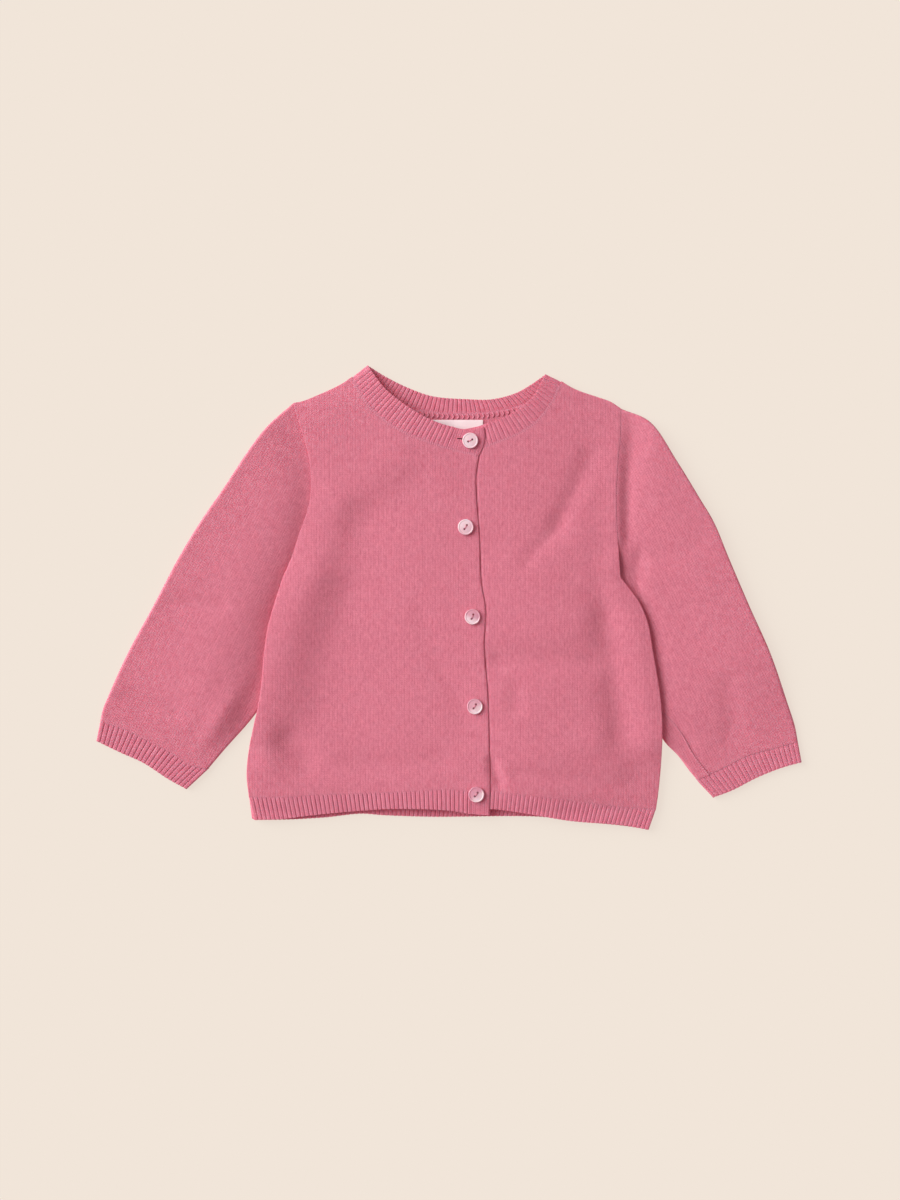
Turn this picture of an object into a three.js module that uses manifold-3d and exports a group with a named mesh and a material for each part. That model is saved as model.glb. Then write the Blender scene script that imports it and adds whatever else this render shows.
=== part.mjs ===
import * as THREE from 'three';
import Module from 'manifold-3d';
import { mergeVertices } from 'three/addons/utils/BufferGeometryUtils.js';

// Baby cardigan for 12 months, laid flat with its front up and its five buttons fastened.
// Millimetres: +X to the wearer's left, +Y towards the neck, +Z up from the surface it lies on.
// The lower layer is the back. The wearer's right front lies over the wearer's left front.

// Driving dimensions of the cloth
const cloth = 1.6;
const ribCloth = 1.3;
const ribRise = 0.5;
const ribPitch = 2.9;
const plainEnd = 12.5;

// Spaces between the pieces
const layerGap = 0.3;
const seamGap = 0.5;
const cuffGap = 0.65;
const rimRound = 0.4;
const hollow = 0.4;

// Fullness of the layers over one another
const bodyFullness = 2.3;
const sleeveFullness = 2.2;
const fadeWidth = 12;
const armholeEase = 6;
const armholeEaseOver = 30;
const hemFade = 15;
const hemFlattening = 0.75;
const tubeHeight = 2 * cloth + hollow;
const sideLift = tubeHeight + 2 * layerGap;
const placketLift = 2.5;
const placketRise = { from: -70, to: 2 };
const placketDip = { depth: 1, middle: 15, width: 22 };

// Shares of a sleeve's width and length over which its upper layer rises to its fullness
const sleeveRise = { outer: 0.25, innerStart: 0.86, inner: 0.3, armhole: 0.25, cuff: 0.2, atCuff: 0.2 };

// Edges and seams in plan, each row one point: across, up
const rightArmhole = [
  [-103, 128], [-98.5, 113.5], [-93.5, 97], [-91, 82.5], [-91, 69.5], [-93, 57.5],
  [-98.5, 42], [-103.5, 26.5], [-109.5, 12.5], [-114, -1.5],
];
const rightSide = [
  [-114, -1.5], [-119, -19], [-121.5, -35], [-124.5, -65.5], [-128.5, -84],
  [-132, -101], [-133.5, -117], [-132, -132.5],
];
const leftArmhole = [
  [113.5, 124.5], [113, 106.5], [111.5, 89], [110.5, 70.5], [110.5, 54], [111.5, 37.5], [113, 13],
];
const leftSide = [
  [113, 13], [119, 5.5], [126, -4.5], [131.5, -18.5], [134.5, -36.5], [138.5, -60],
  [140.5, -81], [140, -109], [138, -130.5], [136.5, -141],
];
const rightShoulder = [
  [-103, 128], [-96, 129.5], [-86, 133.5], [-76, 138], [-69.5, 141.5], [-64, 145.5],
];
const leftShoulder = [
  [113.5, 124.5], [106.5, 129], [99.5, 131.5], [86, 136], [80.5, 138.5], [74, 142.5],
];
const backNeckSeam = [
  [-64, 145.5], [-58, 140], [-46, 131.5], [-28, 125], [-7.5, 122], [16.5, 121.5],
  [39.5, 124.5], [58, 131], [69, 137.5], [74, 142.5],
];
const backNeckEdge = [
  [-54, 153], [-43, 146], [-27, 138], [-11, 132.5], [12.5, 130.5], [28.5, 130.5],
  [44, 134.5], [54, 140], [64, 147],
];
const rightNeckSeam = [
  [-64, 145.5], [-61.5, 139.5], [-56, 130], [-46.5, 119.5], [-33, 110], [-15, 102.5],
  [1, 97.5], [19.5, 93],
];
const rightNeckEdge = [
  [-54, 153], [-48, 144.5], [-42, 137], [-33, 129.5], [-22, 122], [-8, 115], [7, 111],
  [14.5, 110.5], [23, 112],
];
const leftNeckSeam = [
  [74, 142.5], [72.5, 138], [69, 130.5], [63.5, 122], [56, 114], [46.5, 108], [36, 103.5],
  [25, 99.5], [4.5, 96.5],
];
const leftNeckEdge = [
  [64, 147], [60.5, 141], [56, 132.5], [44, 122.5], [35, 117.5], [23, 113.5], [4.5, 109.5],
];
const rightFrontEdge = [
  [27, -130.5], [26.5, -103.5], [25.5, -65.5], [23, -32.5], [24, -8.5], [21, 10.5], [20, 37],
  [18.5, 58], [17.5, 78.5], [19.5, 93],
];
const leftFrontEdge = [[4.5, -127.5], [4.5, -16], [4.5, 96.5]];
const rightHemSeam = [
  [-132, -132.5], [-107.5, -132.5], [-88, -131], [-57, -130], [-24.5, -128.5], [3, -127.5],
  [27, -130.5],
];
const rightHemEdge = [
  [-128.5, -147], [-112, -146.5], [-91.5, -144], [-61.5, -141], [-35, -139.5], [0, -140.5],
  [15, -143], [26.5, -144],
];
const leftHemSeam = [
  [136.5, -141], [105, -138], [80, -134.5], [46, -130.5], [27.5, -128.5], [4.5, -127.5],
];
const leftHemEdge = [
  [131.5, -153.5], [115.5, -150.5], [80, -147.5], [53.5, -143], [28.5, -139.5], [4.5, -139.5],
];
const backHemSeam = [
  [-132, -132.5], [-88, -132], [-32.5, -130.5], [14, -130.5], [60, -132.5], [99.5, -136.5],
  [136.5, -141],
];
const backHemEdge = [
  [-130, -146.5], [-114, -147], [-82.5, -145.5], [-58.5, -143], [-43, -144], [-12.5, -145],
  [60, -145], [84, -148], [115.5, -151], [131.5, -153.5],
];
const rightSleeveOuter = [
  [-103, 128], [-120, 113], [-132.5, 97], [-148, 73.5], [-164.5, 49.5], [-179, 25.5],
  [-195.5, -6], [-212.5, -37.5], [-223.5, -61.5], [-229, -75], [-230.5, -82],
];
const rightSleeveInner = [
  [-114, -1.5], [-120, -16.5], [-114.5, -33], [-113.5, -48], [-119.5, -64.5], [-130, -80],
  [-148.5, -101], [-159.5, -114],
];
const leftSleeveOuter = [
  [113.5, 124.5], [132.5, 116], [150.5, 90], [165.5, 65.5], [175, 49.5], [185, 25.5],
  [198.5, -6], [212.5, -37.5], [223.5, -69.5], [228.5, -85], [230.5, -95.5],
];
const leftSleeveInner = [
  [113, 13], [119.5, 6], [125.5, -4.5], [126.5, -16.5], [126.5, -35], [129.5, -61.5],
  [141, -93.5], [151.5, -105], [159, -115], [164, -121],
];
const rightCuffSeam = [
  [-230.5, -82], [-213, -88], [-198, -95.5], [-183, -103.5], [-171, -111], [-159.5, -114],
];
const rightCuffEdge = [
  [-232.5, -95], [-217, -102.5], [-201.5, -109.5], [-185.5, -120], [-173.5, -126.5],
];
const leftCuffSeam = [
  [230.5, -95.5], [213, -100.5], [197, -105], [180, -113.5], [164, -121],
];
const leftCuffEdge = [
  [232.5, -109], [218.5, -113], [202.5, -119.5], [187, -127.5], [175, -132],
];

// The line of the shoulders and neck points, above which there is no front
const roofLine = [
  [-103, 128], [-64, 145.5], [-54, 153], [0, 190], [64, 147], [74, 142.5], [113.5, 124.5],
];

// Where the body lies over the hidden inner fold of each sleeve: heights where the lift
// begins, is full, is still full and has gone
const sideLifts = {
  right: { begins: 8, full: -10, ends: -82, gone: -106 },
  left: { begins: 13, full: -3, ends: -92, gone: -116 },
};
const liftFull = 12;
const liftGone = 55;

// Soft troughs (height below nought) and ridges of the body's front
const bodyFolds = [
  { from: [-33.5, 87], to: [-78.5, 4.5], width: 13, height: -1.1 },
  { from: [-78.5, 4.5], to: [-95, -45], width: 12, height: -0.9 },
  { from: [-119.5, -91], to: [-86.5, -107.5], width: 10, height: -0.9 },
  { from: [-19, -15], to: [10.5, -81], width: 7, height: -0.4 },
  { from: [99.5, 103.5], to: [65.5, 34.5], width: 9, height: -0.9 },
  { from: [65.5, 34.5], to: [42, 0], width: 8, height: -0.5 },
  { from: [99.5, 37.5], to: [90, -2], width: 10, height: -0.6 },
  { from: [33.5, -14], to: [99.5, -20.5], width: 6, height: -0.5 },
  { from: [102.5, -28.5], to: [114, -104.5], width: 9, height: -1.3 },
  { from: [127.5, -2], to: [131.5, -94.5], width: 7, height: 0.6 },
  { from: [99.5, -132], to: [129.5, -136], width: 6, height: -0.5 },
  { from: [40, -61.5], to: [50, -71.5], width: 6, height: -0.4 },
];
const sleeveFolds = [
  { from: [-96.5, 77], to: [-119.5, -28.5], width: 11, height: -1.4 },
  { from: [-187.5, -2], to: [-138, 4.5], width: 7, height: -0.7 },
  { from: [-210.5, -68], to: [-177.5, -76], width: 7, height: -0.7 },
  { from: [118, 77], to: [117, 4.5], width: 8, height: -1.3 },
  { from: [129.5, 24.5], to: [165.5, 34.5], width: 7, height: -0.5 },
  { from: [189, -45], to: [202, -91], width: 8, height: -0.8 },
];

// Buttons: place on the fronts, the turn of the line through the two holes in degrees, and
// the thickness of what each lies on
const buttonRadius = 5.2;
const buttonThick = 2.4;
const holeRadius = 0.75;
const holeSpacing = 2.6;
const buttonSides = 20;
const buttonSeat = 0.4;
const buttons = [
  { x: 14, y: 103, turn: 27, on: cloth },
  { x: 11, y: 46, turn: 58, on: cloth },
  { x: 15.5, y: -13, turn: 68, on: cloth },
  { x: 17, y: -72, turn: 60, on: cloth },
  { x: 18, y: -130, turn: 53, on: cloth + ribRise },
];

// Neck label: a bare tape sewn inside the back, below the neckband
const label = { left: -11.5, right: 22.5, top: 117, drop: 16, thick: 0.4 };
const labelColumns = 6;
const labelRows = 3;

// Rows and columns of the panels, as shares of each edge's length
const armholeRows = [0, 0.025, 0.11, 0.21, 0.31, 0.41, 0.51, 0.61, 0.71, 0.81, 0.9, 0.975, 1];
const sideRows = [0, 0.06, 0.14, 0.22, 0.3, 0.38, 0.47, 0.56, 0.65, 0.74, 0.83, 0.92, 1];
const shoulderColumns = [0, 0.1, 0.33, 0.55, 0.78, 1];
const backShoulderColumns = [0, 0.12, 0.5, 1];
const rightNeckColumns = 11;
const leftNeckColumns = 11;
const backNeckColumns = [
  0, 0.035, 0.075, 0.13, 0.2, 0.28, 0.37, 0.46, 0.55, 0.64, 0.73, 0.81, 0.88, 0.93, 0.97, 1,
];
const rightHemColumns = [
  0, 0.03, 0.085, 0.15, 0.215, 0.285, 0.355, 0.425, 0.495, 0.565, 0.635, 0.7, 0.76, 0.82, 0.87,
  0.93, 1,
];
const leftHemColumns = [
  0, 0.03, 0.085, 0.15, 0.215, 0.28, 0.345, 0.41, 0.475, 0.54, 0.605, 0.67, 0.735, 0.8, 0.865,
  0.935, 1,
];
const backHemColumns = [
  0, 0.02, 0.05, 0.09, 0.135, 0.185, 0.24, 0.295, 0.35, 0.41, 0.47, 0.53, 0.59, 0.65, 0.705,
  0.76, 0.815, 0.865, 0.91, 0.95, 0.98, 1,
];
const sleeveStations = 14;
const cuffUnderside = 12;
const foldSteps = 5;

// Curves through the tables

function sample(table, shares) {
  const points = table.map(([x, y]) => new THREE.Vector3(x, y, 0));
  const curve = new THREE.CatmullRomCurve3(points, false, 'centripetal');
  curve.arcLengthDivisions = 400;
  return shares.map((share) => curve.getPointAt(share));
}

function tableLength(table) {
  const points = table.map(([x, y]) => new THREE.Vector3(x, y, 0));
  return new THREE.CatmullRomCurve3(points, false, 'centripetal').getLength();
}

function even(count) {
  return Array.from({ length: count + 1 }, (_, i) => i / count);
}

function joined(first, second) {
  return first.concat(second.slice(1));
}

// Heights of the layers

function smooth(t) {
  const s = Math.min(Math.max(t, 0), 1);
  return s * s * (3 - 2 * s);
}

// One coordinate of a table's line where the other, which always rises or falls, is at a value
function lineAt(table, value, given, wanted) {
  const rising = table[0][given] < table[table.length - 1][given];
  const rows = rising ? table : table.slice().reverse();
  if (value <= rows[0][given]) {
    return rows[0][wanted];
  }
  for (let i = 1; i < rows.length; i += 1) {
    if (value <= rows[i][given]) {
      const share = (value - rows[i - 1][given]) / (rows[i][given] - rows[i - 1][given]);
      return rows[i - 1][wanted] + share * (rows[i][wanted] - rows[i - 1][wanted]);
    }
  }
  return rows[rows.length - 1][wanted];
}

const rightOutline = joined(rightArmhole, rightSide);
const leftOutline = joined(leftArmhole, leftSide);

function sideDistance(x, y) {
  const outline = x < 0 ? rightOutline : leftOutline;
  return Math.max(Math.abs(lineAt(outline, y, 1, 0)) - Math.abs(x), 0);
}

// Height added by one fold: soft across its line, and fading at its ends
function foldHeight(fold, x, y) {
  const along = [fold.to[0] - fold.from[0], fold.to[1] - fold.from[1]];
  const length = Math.hypot(along[0], along[1]);
  const toPoint = [x - fold.from[0], y - fold.from[1]];
  const t = (toPoint[0] * along[0] + toPoint[1] * along[1]) / length;
  const across = (toPoint[0] * along[1] - toPoint[1] * along[0]) / length;
  const past = Math.max(-t, t - length, 0);
  return fold.height * Math.exp(-((across / fold.width) ** 2) - (past / fold.width) ** 2);
}

function folds(table, x, y) {
  return table.reduce((sum, fold) => sum + foldHeight(fold, x, y), 0);
}

function bodyLift(x, y) {
  const row = x < 0 ? sideLifts.right : sideLifts.left;
  const upper = smooth((row.begins - y) / (row.begins - row.full));
  const lower = smooth((y - row.gone) / (row.ends - row.gone));
  const inward = smooth((liftGone - sideDistance(x, y)) / (liftGone - liftFull));
  return sideLift * upper * lower * inward;
}

function loft(x, y) {
  const ease = armholeEase * smooth(y / armholeEaseOver);
  const side = 1 - Math.exp(-(sideDistance(x, y) + ease) / fadeWidth);
  const roof = 1 - Math.exp(-Math.max(lineAt(roofLine, x, 0, 1) - y, 0) / fadeWidth);
  const hem = 1 - hemFlattening * Math.exp(-Math.max(y - rightHemSeam[0][1], 0) / hemFade);
  const dip = placketDip.depth * Math.exp(-(((x - placketDip.middle) / placketDip.width) ** 2));
  const full = bodyFullness - dip + folds(bodyFolds, x, y);
  return Math.max(full * side * roof * hem, 0);
}

// Underside of the wearer's left front, and of the right one, which rises over it
function leftFrontFloor(x, y) {
  return cloth + layerGap + bodyLift(x, y) + loft(x, y);
}

function rightFrontFloor(x, y) {
  const rise = (x - placketRise.from) / (placketRise.to - placketRise.from);
  return leftFrontFloor(x, y) + placketLift * smooth(rise);
}

// Closed bodies from grids, rings and sections of points

function closedGeometry(points, triangles) {
  let volume = 0;
  for (const [a, b, c] of triangles) {
    volume += points[a].dot(new THREE.Vector3().crossVectors(points[b], points[c]));
  }
  const order = volume > 0 ? [0, 1, 2] : [0, 2, 1];
  const geometry = new THREE.BufferGeometry();
  geometry.setAttribute('position', new THREE.Float32BufferAttribute(
    points.flatMap((p) => [p.x, p.y, p.z]), 3));
  geometry.setIndex(triangles.flatMap((t) => order.map((k) => t[k])));
  geometry.computeVertexNormals();
  return geometry;
}

// A wall between an upper and a lower grid of points, closed round its rim
function wall(upper, lower) {
  const rows = upper.length;
  const columns = upper[0].length;
  const points = upper.flat().concat(lower.flat());
  const under = rows * columns;
  const at = (row, column) => row * columns + column;
  const triangles = [];
  for (let r = 0; r < rows - 1; r += 1) {
    for (let c = 0; c < columns - 1; c += 1) {
      const [a, b, d, e] = [at(r, c), at(r, c + 1), at(r + 1, c + 1), at(r + 1, c)];
      triangles.push([a, b, d], [a, d, e]);
      triangles.push([under + a, under + d, under + b], [under + a, under + e, under + d]);
    }
  }
  const rim = [];
  for (let c = 0; c < columns; c += 1) {
    rim.push(at(0, c));
  }
  for (let r = 1; r < rows; r += 1) {
    rim.push(at(r, columns - 1));
  }
  for (let c = columns - 2; c >= 0; c -= 1) {
    rim.push(at(rows - 1, c));
  }
  for (let r = rows - 2; r >= 1; r -= 1) {
    rim.push(at(r, 0));
  }
  rim.forEach((a, i) => {
    const b = rim[(i + 1) % rim.length];
    triangles.push([a, under + a, under + b], [a, under + b, b]);
  });
  return closedGeometry(points, triangles);
}

// Triangles between two neighbouring loops of points
function bridge(triangles, first, second, count) {
  for (let k = 0; k < count; k += 1) {
    const next = (k + 1) % count;
    triangles.push([first + k, first + next, second + next], [first + k, second + next, second + k]);
  }
}

// An open tube with a wall: a ring of outer and inner points at each station
function tube(stations) {
  const count = stations[0].outer.length;
  const points = stations.flatMap((s) => s.outer).concat(stations.flatMap((s) => s.inner));
  const inner = stations.length * count;
  const triangles = [];
  const insides = [];
  for (let s = 0; s < stations.length - 1; s += 1) {
    bridge(triangles, s * count, (s + 1) * count, count);
    bridge(insides, inner + s * count, inner + (s + 1) * count, count);
  }
  const last = (stations.length - 1) * count;
  bridge(triangles, inner, 0, count);
  bridge(triangles, last, inner + last, count);
  return closedGeometry(points, triangles.concat(insides.map(([a, b, c]) => [a, c, b])));
}

// A strip swept through four-sided sections, closed at both ends
function sweep(sections) {
  const triangles = [];
  for (let s = 0; s < sections.length - 1; s += 1) {
    bridge(triangles, s * 4, (s + 1) * 4, 4);
  }
  const last = (sections.length - 1) * 4;
  triangles.push([0, 2, 1], [0, 3, 2], [last, last + 1, last + 2], [last, last + 2, last + 3]);
  return closedGeometry(sections.flat(), triangles);
}

// Points in plan between four edges, each given as a list of points
function patch(bottom, top, left, right) {
  const columns = bottom.length - 1;
  const rows = left.length - 1;
  return left.map((_, r) => bottom.map((__, c) => {
    const u = c / columns;
    const v = r / rows;
    const p = new THREE.Vector3();
    p.addScaledVector(bottom[c], 1 - v).addScaledVector(top[c], v);
    p.addScaledVector(left[r], 1 - u).addScaledVector(right[r], u);
    p.addScaledVector(bottom[0], -(1 - u) * (1 - v)).addScaledVector(bottom[columns], -u * (1 - v));
    p.addScaledVector(top[0], -(1 - u) * v).addScaledVector(top[columns], -u * v);
    return p;
  }));
}

function raised(point, z) {
  return new THREE.Vector3(point.x, point.y, z);
}

// Panels of the body

function isRim(grid, r, c) {
  return r === 0 || c === 0 || r === grid.length - 1 || c === grid[0].length - 1;
}

// The rim is thinner than the cloth inside it, and a hugging rim also bends down to its seam
function panel(plan, floor, hugs) {
  const lower = plan.map((row, r) => row.map((p, c) => (
    raised(p, floor(p.x, p.y) - (hugs(r, c) ? rimRound : 0)))));
  const upper = lower.map((row, r) => row.map((p, c) => (
    raised(p, p.z + cloth - (isRim(plan, r, c) ? rimRound : 0)))));
  return wall(upper, lower);
}

function sideAndArmhole(side, armhole) {
  const down = joined(sample(armhole, armholeRows), sample(side, sideRows));
  return down.reverse();
}

const rowCount = armholeRows.length + sideRows.length - 2;
const rightEdgePoints = sideAndArmhole(rightSide, rightArmhole);
const leftEdgePoints = sideAndArmhole(leftSide, leftArmhole);

function front(hemSeam, hemColumns, shoulder, neckSeam, neckColumns, sideEdge, frontEdge, floor) {
  const top = joined(sample(shoulder, shoulderColumns), sample(neckSeam, even(neckColumns)));
  const plan = patch(sample(hemSeam, hemColumns), top, sideEdge, sample(frontEdge, even(rowCount)));
  const hugs = (r, c) => (c === 0 && r < sideRows.length)
    || (r === rowCount && c < shoulderColumns.length);
  return panel(plan, floor, hugs);
}

function frontRight() {
  return front(rightHemSeam, rightHemColumns, rightShoulder, rightNeckSeam, rightNeckColumns,
    rightEdgePoints, rightFrontEdge, rightFrontFloor);
}

function frontLeft() {
  return front(leftHemSeam, leftHemColumns, leftShoulder, leftNeckSeam, leftNeckColumns,
    leftEdgePoints, leftFrontEdge, leftFrontFloor);
}

function backPanel() {
  const right = sample(rightShoulder, backShoulderColumns);
  const left = sample(leftShoulder, backShoulderColumns).reverse();
  const neck = sample(backNeckSeam, backNeckColumns);
  const top = joined(joined(right, neck), left);
  const plan = patch(sample(backHemSeam, backHemColumns), top, rightEdgePoints, leftEdgePoints);
  return panel(plan, bodyLift, () => false);
}

// Ribbed hems: a rib stands up at every other section, and the button edge ends plain

function ribCount(length) {
  return 2 * Math.round(length / ribPitch);
}

function ribHeight(index, distanceToEnd) {
  return index % 2 === 1 && distanceToEnd > plainEnd ? ribRise : 0;
}

function hem(seam, edge, floor, plainLast) {
  const length = tableLength(seam);
  const shares = even(ribCount(length));
  const tops = sample(seam, shares);
  const bottoms = sample(edge, shares);
  return sweep(tops.map((top, i) => {
    const toEnd = plainLast ? (1 - shares[i]) * length : Infinity;
    const rise = ribCloth + ribHeight(i, toEnd);
    const start = new THREE.Vector3(top.x, top.y - seamGap, 0);
    const topFloor = floor(top.x, top.y);
    const endFloor = floor(bottoms[i].x, bottoms[i].y);
    return [
      raised(start, topFloor), raised(start, topFloor + rise),
      raised(bottoms[i], endFloor + rise), raised(bottoms[i], endFloor),
    ];
  }));
}

function leftHemFloor(x, y) {
  return leftFrontFloor(x, y) + ribCloth + ribRise - cloth;
}

function rightHemFloor(x, y) {
  return rightFrontFloor(x, y) + ribCloth + ribRise - cloth;
}

// Sleeves and cuffs: flattened tubes whose two layers meet in a fold along each edge

function sleeveTop(point, share, station) {
  const across = smooth(share / sleeveRise.outer)
    * smooth((sleeveRise.innerStart - share) / sleeveRise.inner);
  const along = smooth(station / sleeveRise.armhole)
    * smooth((1 - station) / sleeveRise.cuff + sleeveRise.atCuff);
  const height = tubeHeight + sleeveFullness * across * along
    + folds(sleeveFolds, point.x, point.y) * across;
  return Math.max(height, tubeHeight);
}

// A ring of a flattened tube: over the top from the outer fold to the inner one, and back below
function flatRing(line, tops, unders, thick) {
  const last = line.length - 1;
  const inward = new THREE.Vector3().subVectors(line[last], line[0]).setZ(0).normalize();
  const middle = thick + hollow / 2;
  const outer = [];
  const inner = [];
  line.forEach((p, k) => {
    const isFold = k === 0 || k === last;
    const inset = k === 0 ? thick : -thick;
    outer.push(raised(p, isFold ? middle : tops[k]));
    const inside = isFold ? p.clone().addScaledVector(inward, inset) : p;
    inner.push(raised(inside, isFold ? middle : tops[k] - thick));
  });
  unders.forEach((k) => {
    outer.push(raised(line[k], 0));
    inner.push(raised(line[k], thick));
  });
  return { outer, inner };
}

function sleeve(armhole, outerEdge, innerEdge, cuffSeam, outward) {
  const start = sample(armhole, armholeRows).map((p) => p.setX(p.x + outward * seamGap));
  const end = sample(cuffSeam, armholeRows);
  const stations = even(sleeveStations);
  const plan = patch(start, end, sample(outerEdge, stations), sample(innerEdge, stations));
  // The first ring stands clear of the body at the armhole seam
  plan[0] = start;
  const unders = armholeRows.map((_, k) => k).slice(1, -1).reverse();
  return tube(plan.map((line, s) => {
    const tops = line.map((p, k) => sleeveTop(p, armholeRows[k], stations[s]));
    return flatRing(line, tops, unders, cloth);
  }));
}

function cuff(seam, edge) {
  const ribs = ribCount(tableLength(edge));
  const shares = even(ribs);
  const step = Math.round(ribs / cuffUnderside);
  const inside = shares.map((_, k) => k).slice(1, -1);
  const unders = inside.filter((k) => k % step === 0).reverse();
  const lines = [sample(seam, shares), sample(edge, shares)];
  const fall = new THREE.Vector3().subVectors(lines[1][ribs / 2], lines[0][ribs / 2]).normalize();
  lines[0].forEach((p) => p.addScaledVector(fall, cuffGap));
  const tops = shares.map((_, k) => 2 * ribCloth + hollow + ribHeight(k, Infinity));
  return tube(lines.map((line) => {
    const ring = flatRing(line, tops, unders, ribCloth);
    ring.inner.slice(1, ribs).forEach((p) => p.setZ(ribCloth + hollow));
    return ring;
  }));
}

// Neckband: one strip, folded over at the two neck points

const bandMiddle = ribCloth / 2;
const bandFloor = ribCloth + ribRise + layerGap;
const foldRadius = bandFloor / 2;
const foldInset = foldRadius + bandMiddle;

function bandSection(edge, seam, direction, riseUp) {
  const inside = direction.clone().multiplyScalar(-bandMiddle);
  const outside = direction.clone().multiplyScalar(bandMiddle);
  const upward = direction.z > 0 ? outside : inside;
  upward.z += riseUp;
  return [
    edge.clone().add(inside), edge.clone().add(outside),
    seam.clone().add(outside), seam.clone().add(inside),
  ];
}

// One stretch of the band between two shares of its length
function bandStretch(edgeTable, seamTable, shares, height, direction, plainFirst) {
  const length = tableLength(seamTable);
  const edges = sample(edgeTable, shares);
  const seams = sample(seamTable, shares);
  return edges.map((edge, i) => {
    const seam = seams[i];
    const toward = new THREE.Vector3().subVectors(edge, seam).normalize();
    seam.addScaledVector(toward, seamGap);
    const toEnd = plainFirst ? (1 - shares[i]) * length : Infinity;
    edge.z = height(edge.x, edge.y) + bandMiddle;
    seam.z = height(seam.x, seam.y) + bandMiddle;
    return { edge, seam, direction, rise: ribHeight(i, toEnd) };
  });
}

// The turn from the front's stretch to the back's, round a line across the band
function bandFold(frontEnd, backEnd) {
  const centre = (a, b) => a.clone().add(b).multiplyScalar(0.5);
  const edge = centre(frontEnd.edge, backEnd.edge);
  const seam = centre(frontEnd.seam, backEnd.seam);
  const line = new THREE.Vector3().subVectors(edge, seam).setZ(0).normalize();
  const outward = new THREE.Vector3(-line.y, line.x, 0);
  if (outward.x * edge.x < 0) {
    outward.negate();
  }
  return even(foldSteps).slice(1, -1).map((t) => {
    const angle = Math.PI * t;
    const direction = new THREE.Vector3(0, 0, Math.cos(angle));
    direction.addScaledVector(outward, Math.sin(angle));
    return {
      edge: edge.clone().addScaledVector(direction, foldRadius),
      seam: seam.clone().addScaledVector(direction, foldRadius),
      direction,
      rise: 0,
    };
  });
}

function stretchShares(table) {
  const length = tableLength(table);
  return { length, inset: foldInset / length, ribs: ribCount(length) };
}

function neckband() {
  const up = new THREE.Vector3(0, 0, 1);
  const down = new THREE.Vector3(0, 0, -1);
  const overBack = bandFloor - cloth - layerGap;
  const right = stretchShares(rightNeckSeam);
  const left = stretchShares(leftNeckSeam);
  const back = stretchShares(backNeckSeam);
  const fromFold = (s) => even(s.ribs).map((t) => s.inset + t * (1 - s.inset));
  const betweenFolds = even(back.ribs).map((t) => back.inset + t * (1 - 2 * back.inset));
  const rightPart = bandStretch(rightNeckEdge, rightNeckSeam, fromFold(right),
    (x, y) => rightFrontFloor(x, y) + overBack, up, true).reverse();
  const backPart = bandStretch(backNeckEdge, backNeckSeam, betweenFolds, () => 0, down, false);
  const leftPart = bandStretch(leftNeckEdge, leftNeckSeam, fromFold(left),
    (x, y) => leftFrontFloor(x, y) + overBack, up, true);
  const rightFold = bandFold(rightPart[rightPart.length - 1], backPart[0]);
  const leftFold = bandFold(leftPart[0], backPart[backPart.length - 1]).reverse();
  const strip = [...rightPart, ...rightFold, ...backPart, ...leftFold, ...leftPart];
  return sweep(strip.map((s) => bandSection(s.edge, s.seam, s.direction, s.rise)));
}

// Buttons: a dished disc with two holes for the thread

const wasm = await Module();
wasm.setup();

function toSolid(geometry) {
  const bare = geometry.clone();
  bare.deleteAttribute('normal');
  bare.deleteAttribute('uv');
  const merged = mergeVertices(bare);
  return new wasm.Manifold(new wasm.Mesh({
    numProp: 3,
    vertProperties: new Float32Array(merged.attributes.position.array),
    triVerts: new Uint32Array(merged.index.array),
  }));
}

function toGeometry(solid) {
  const mesh = solid.getMesh();
  const geometry = new THREE.BufferGeometry();
  geometry.setAttribute('position', new THREE.BufferAttribute(mesh.vertProperties, 3));
  geometry.setIndex(Array.from(mesh.triVerts));
  geometry.computeVertexNormals();
  return geometry;
}

function buttonGeometry() {
  const footRadius = 3.75;
  const widestHeight = 1.3;
  const crownInset = 0.7;
  const rimWidth = 1.5;
  const rimInsideHeight = 2.15;
  const dishRadius = 2.8;
  const dish = 0.6;
  const holeSides = 8;
  const profile = [
    [0, 0], [footRadius, 0], [buttonRadius, widestHeight],
    [buttonRadius - crownInset, buttonThick], [buttonRadius - rimWidth, rimInsideHeight],
    [dishRadius, buttonThick - dish], [0, buttonThick - dish],
  ];
  const outline = profile.map(([r, z]) => new THREE.Vector2(r, z));
  const disc = new THREE.LatheGeometry(outline, buttonSides);
  disc.rotateX(Math.PI / 2);
  let solid = toSolid(disc);
  for (const side of [-1, 1]) {
    const hole = new THREE.CylinderGeometry(holeRadius, holeRadius, 3 * buttonThick, holeSides);
    hole.rotateX(Math.PI / 2);
    hole.translate(side * holeSpacing / 2, 0, 0);
    solid = solid.subtract(toSolid(hole));
  }
  return toGeometry(solid);
}

// The highest point of the cloth under a button
function buttonFloor({ x, y, on }) {
  const shares = even(buttonSides).slice(1);
  return Math.max(...shares.map((t) => {
    const angle = 2 * Math.PI * t;
    const [px, py] = [x + buttonRadius * Math.cos(angle), y + buttonRadius * Math.sin(angle)];
    return rightFrontFloor(px, py);
  })) + on;
}

// Neck label: a flat tape whose lower end is free

function labelGeometry() {
  const across = even(labelColumns);
  const down = even(labelRows);
  const plan = down.map((v) => across.map((u) => {
    const x = label.left + u * (label.right - label.left);
    return new THREE.Vector3(x, label.top - v * label.drop, 0);
  }));
  const floor = cloth + layerGap;
  const lower = plan.map((row) => row.map((p) => raised(p, floor)));
  const upper = plan.map((row) => row.map((p) => raised(p, floor + label.thick)));
  return wall(upper, lower);
}

// Materials: cotton knit, its ribs, pearly buttons and a pale tape

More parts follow.
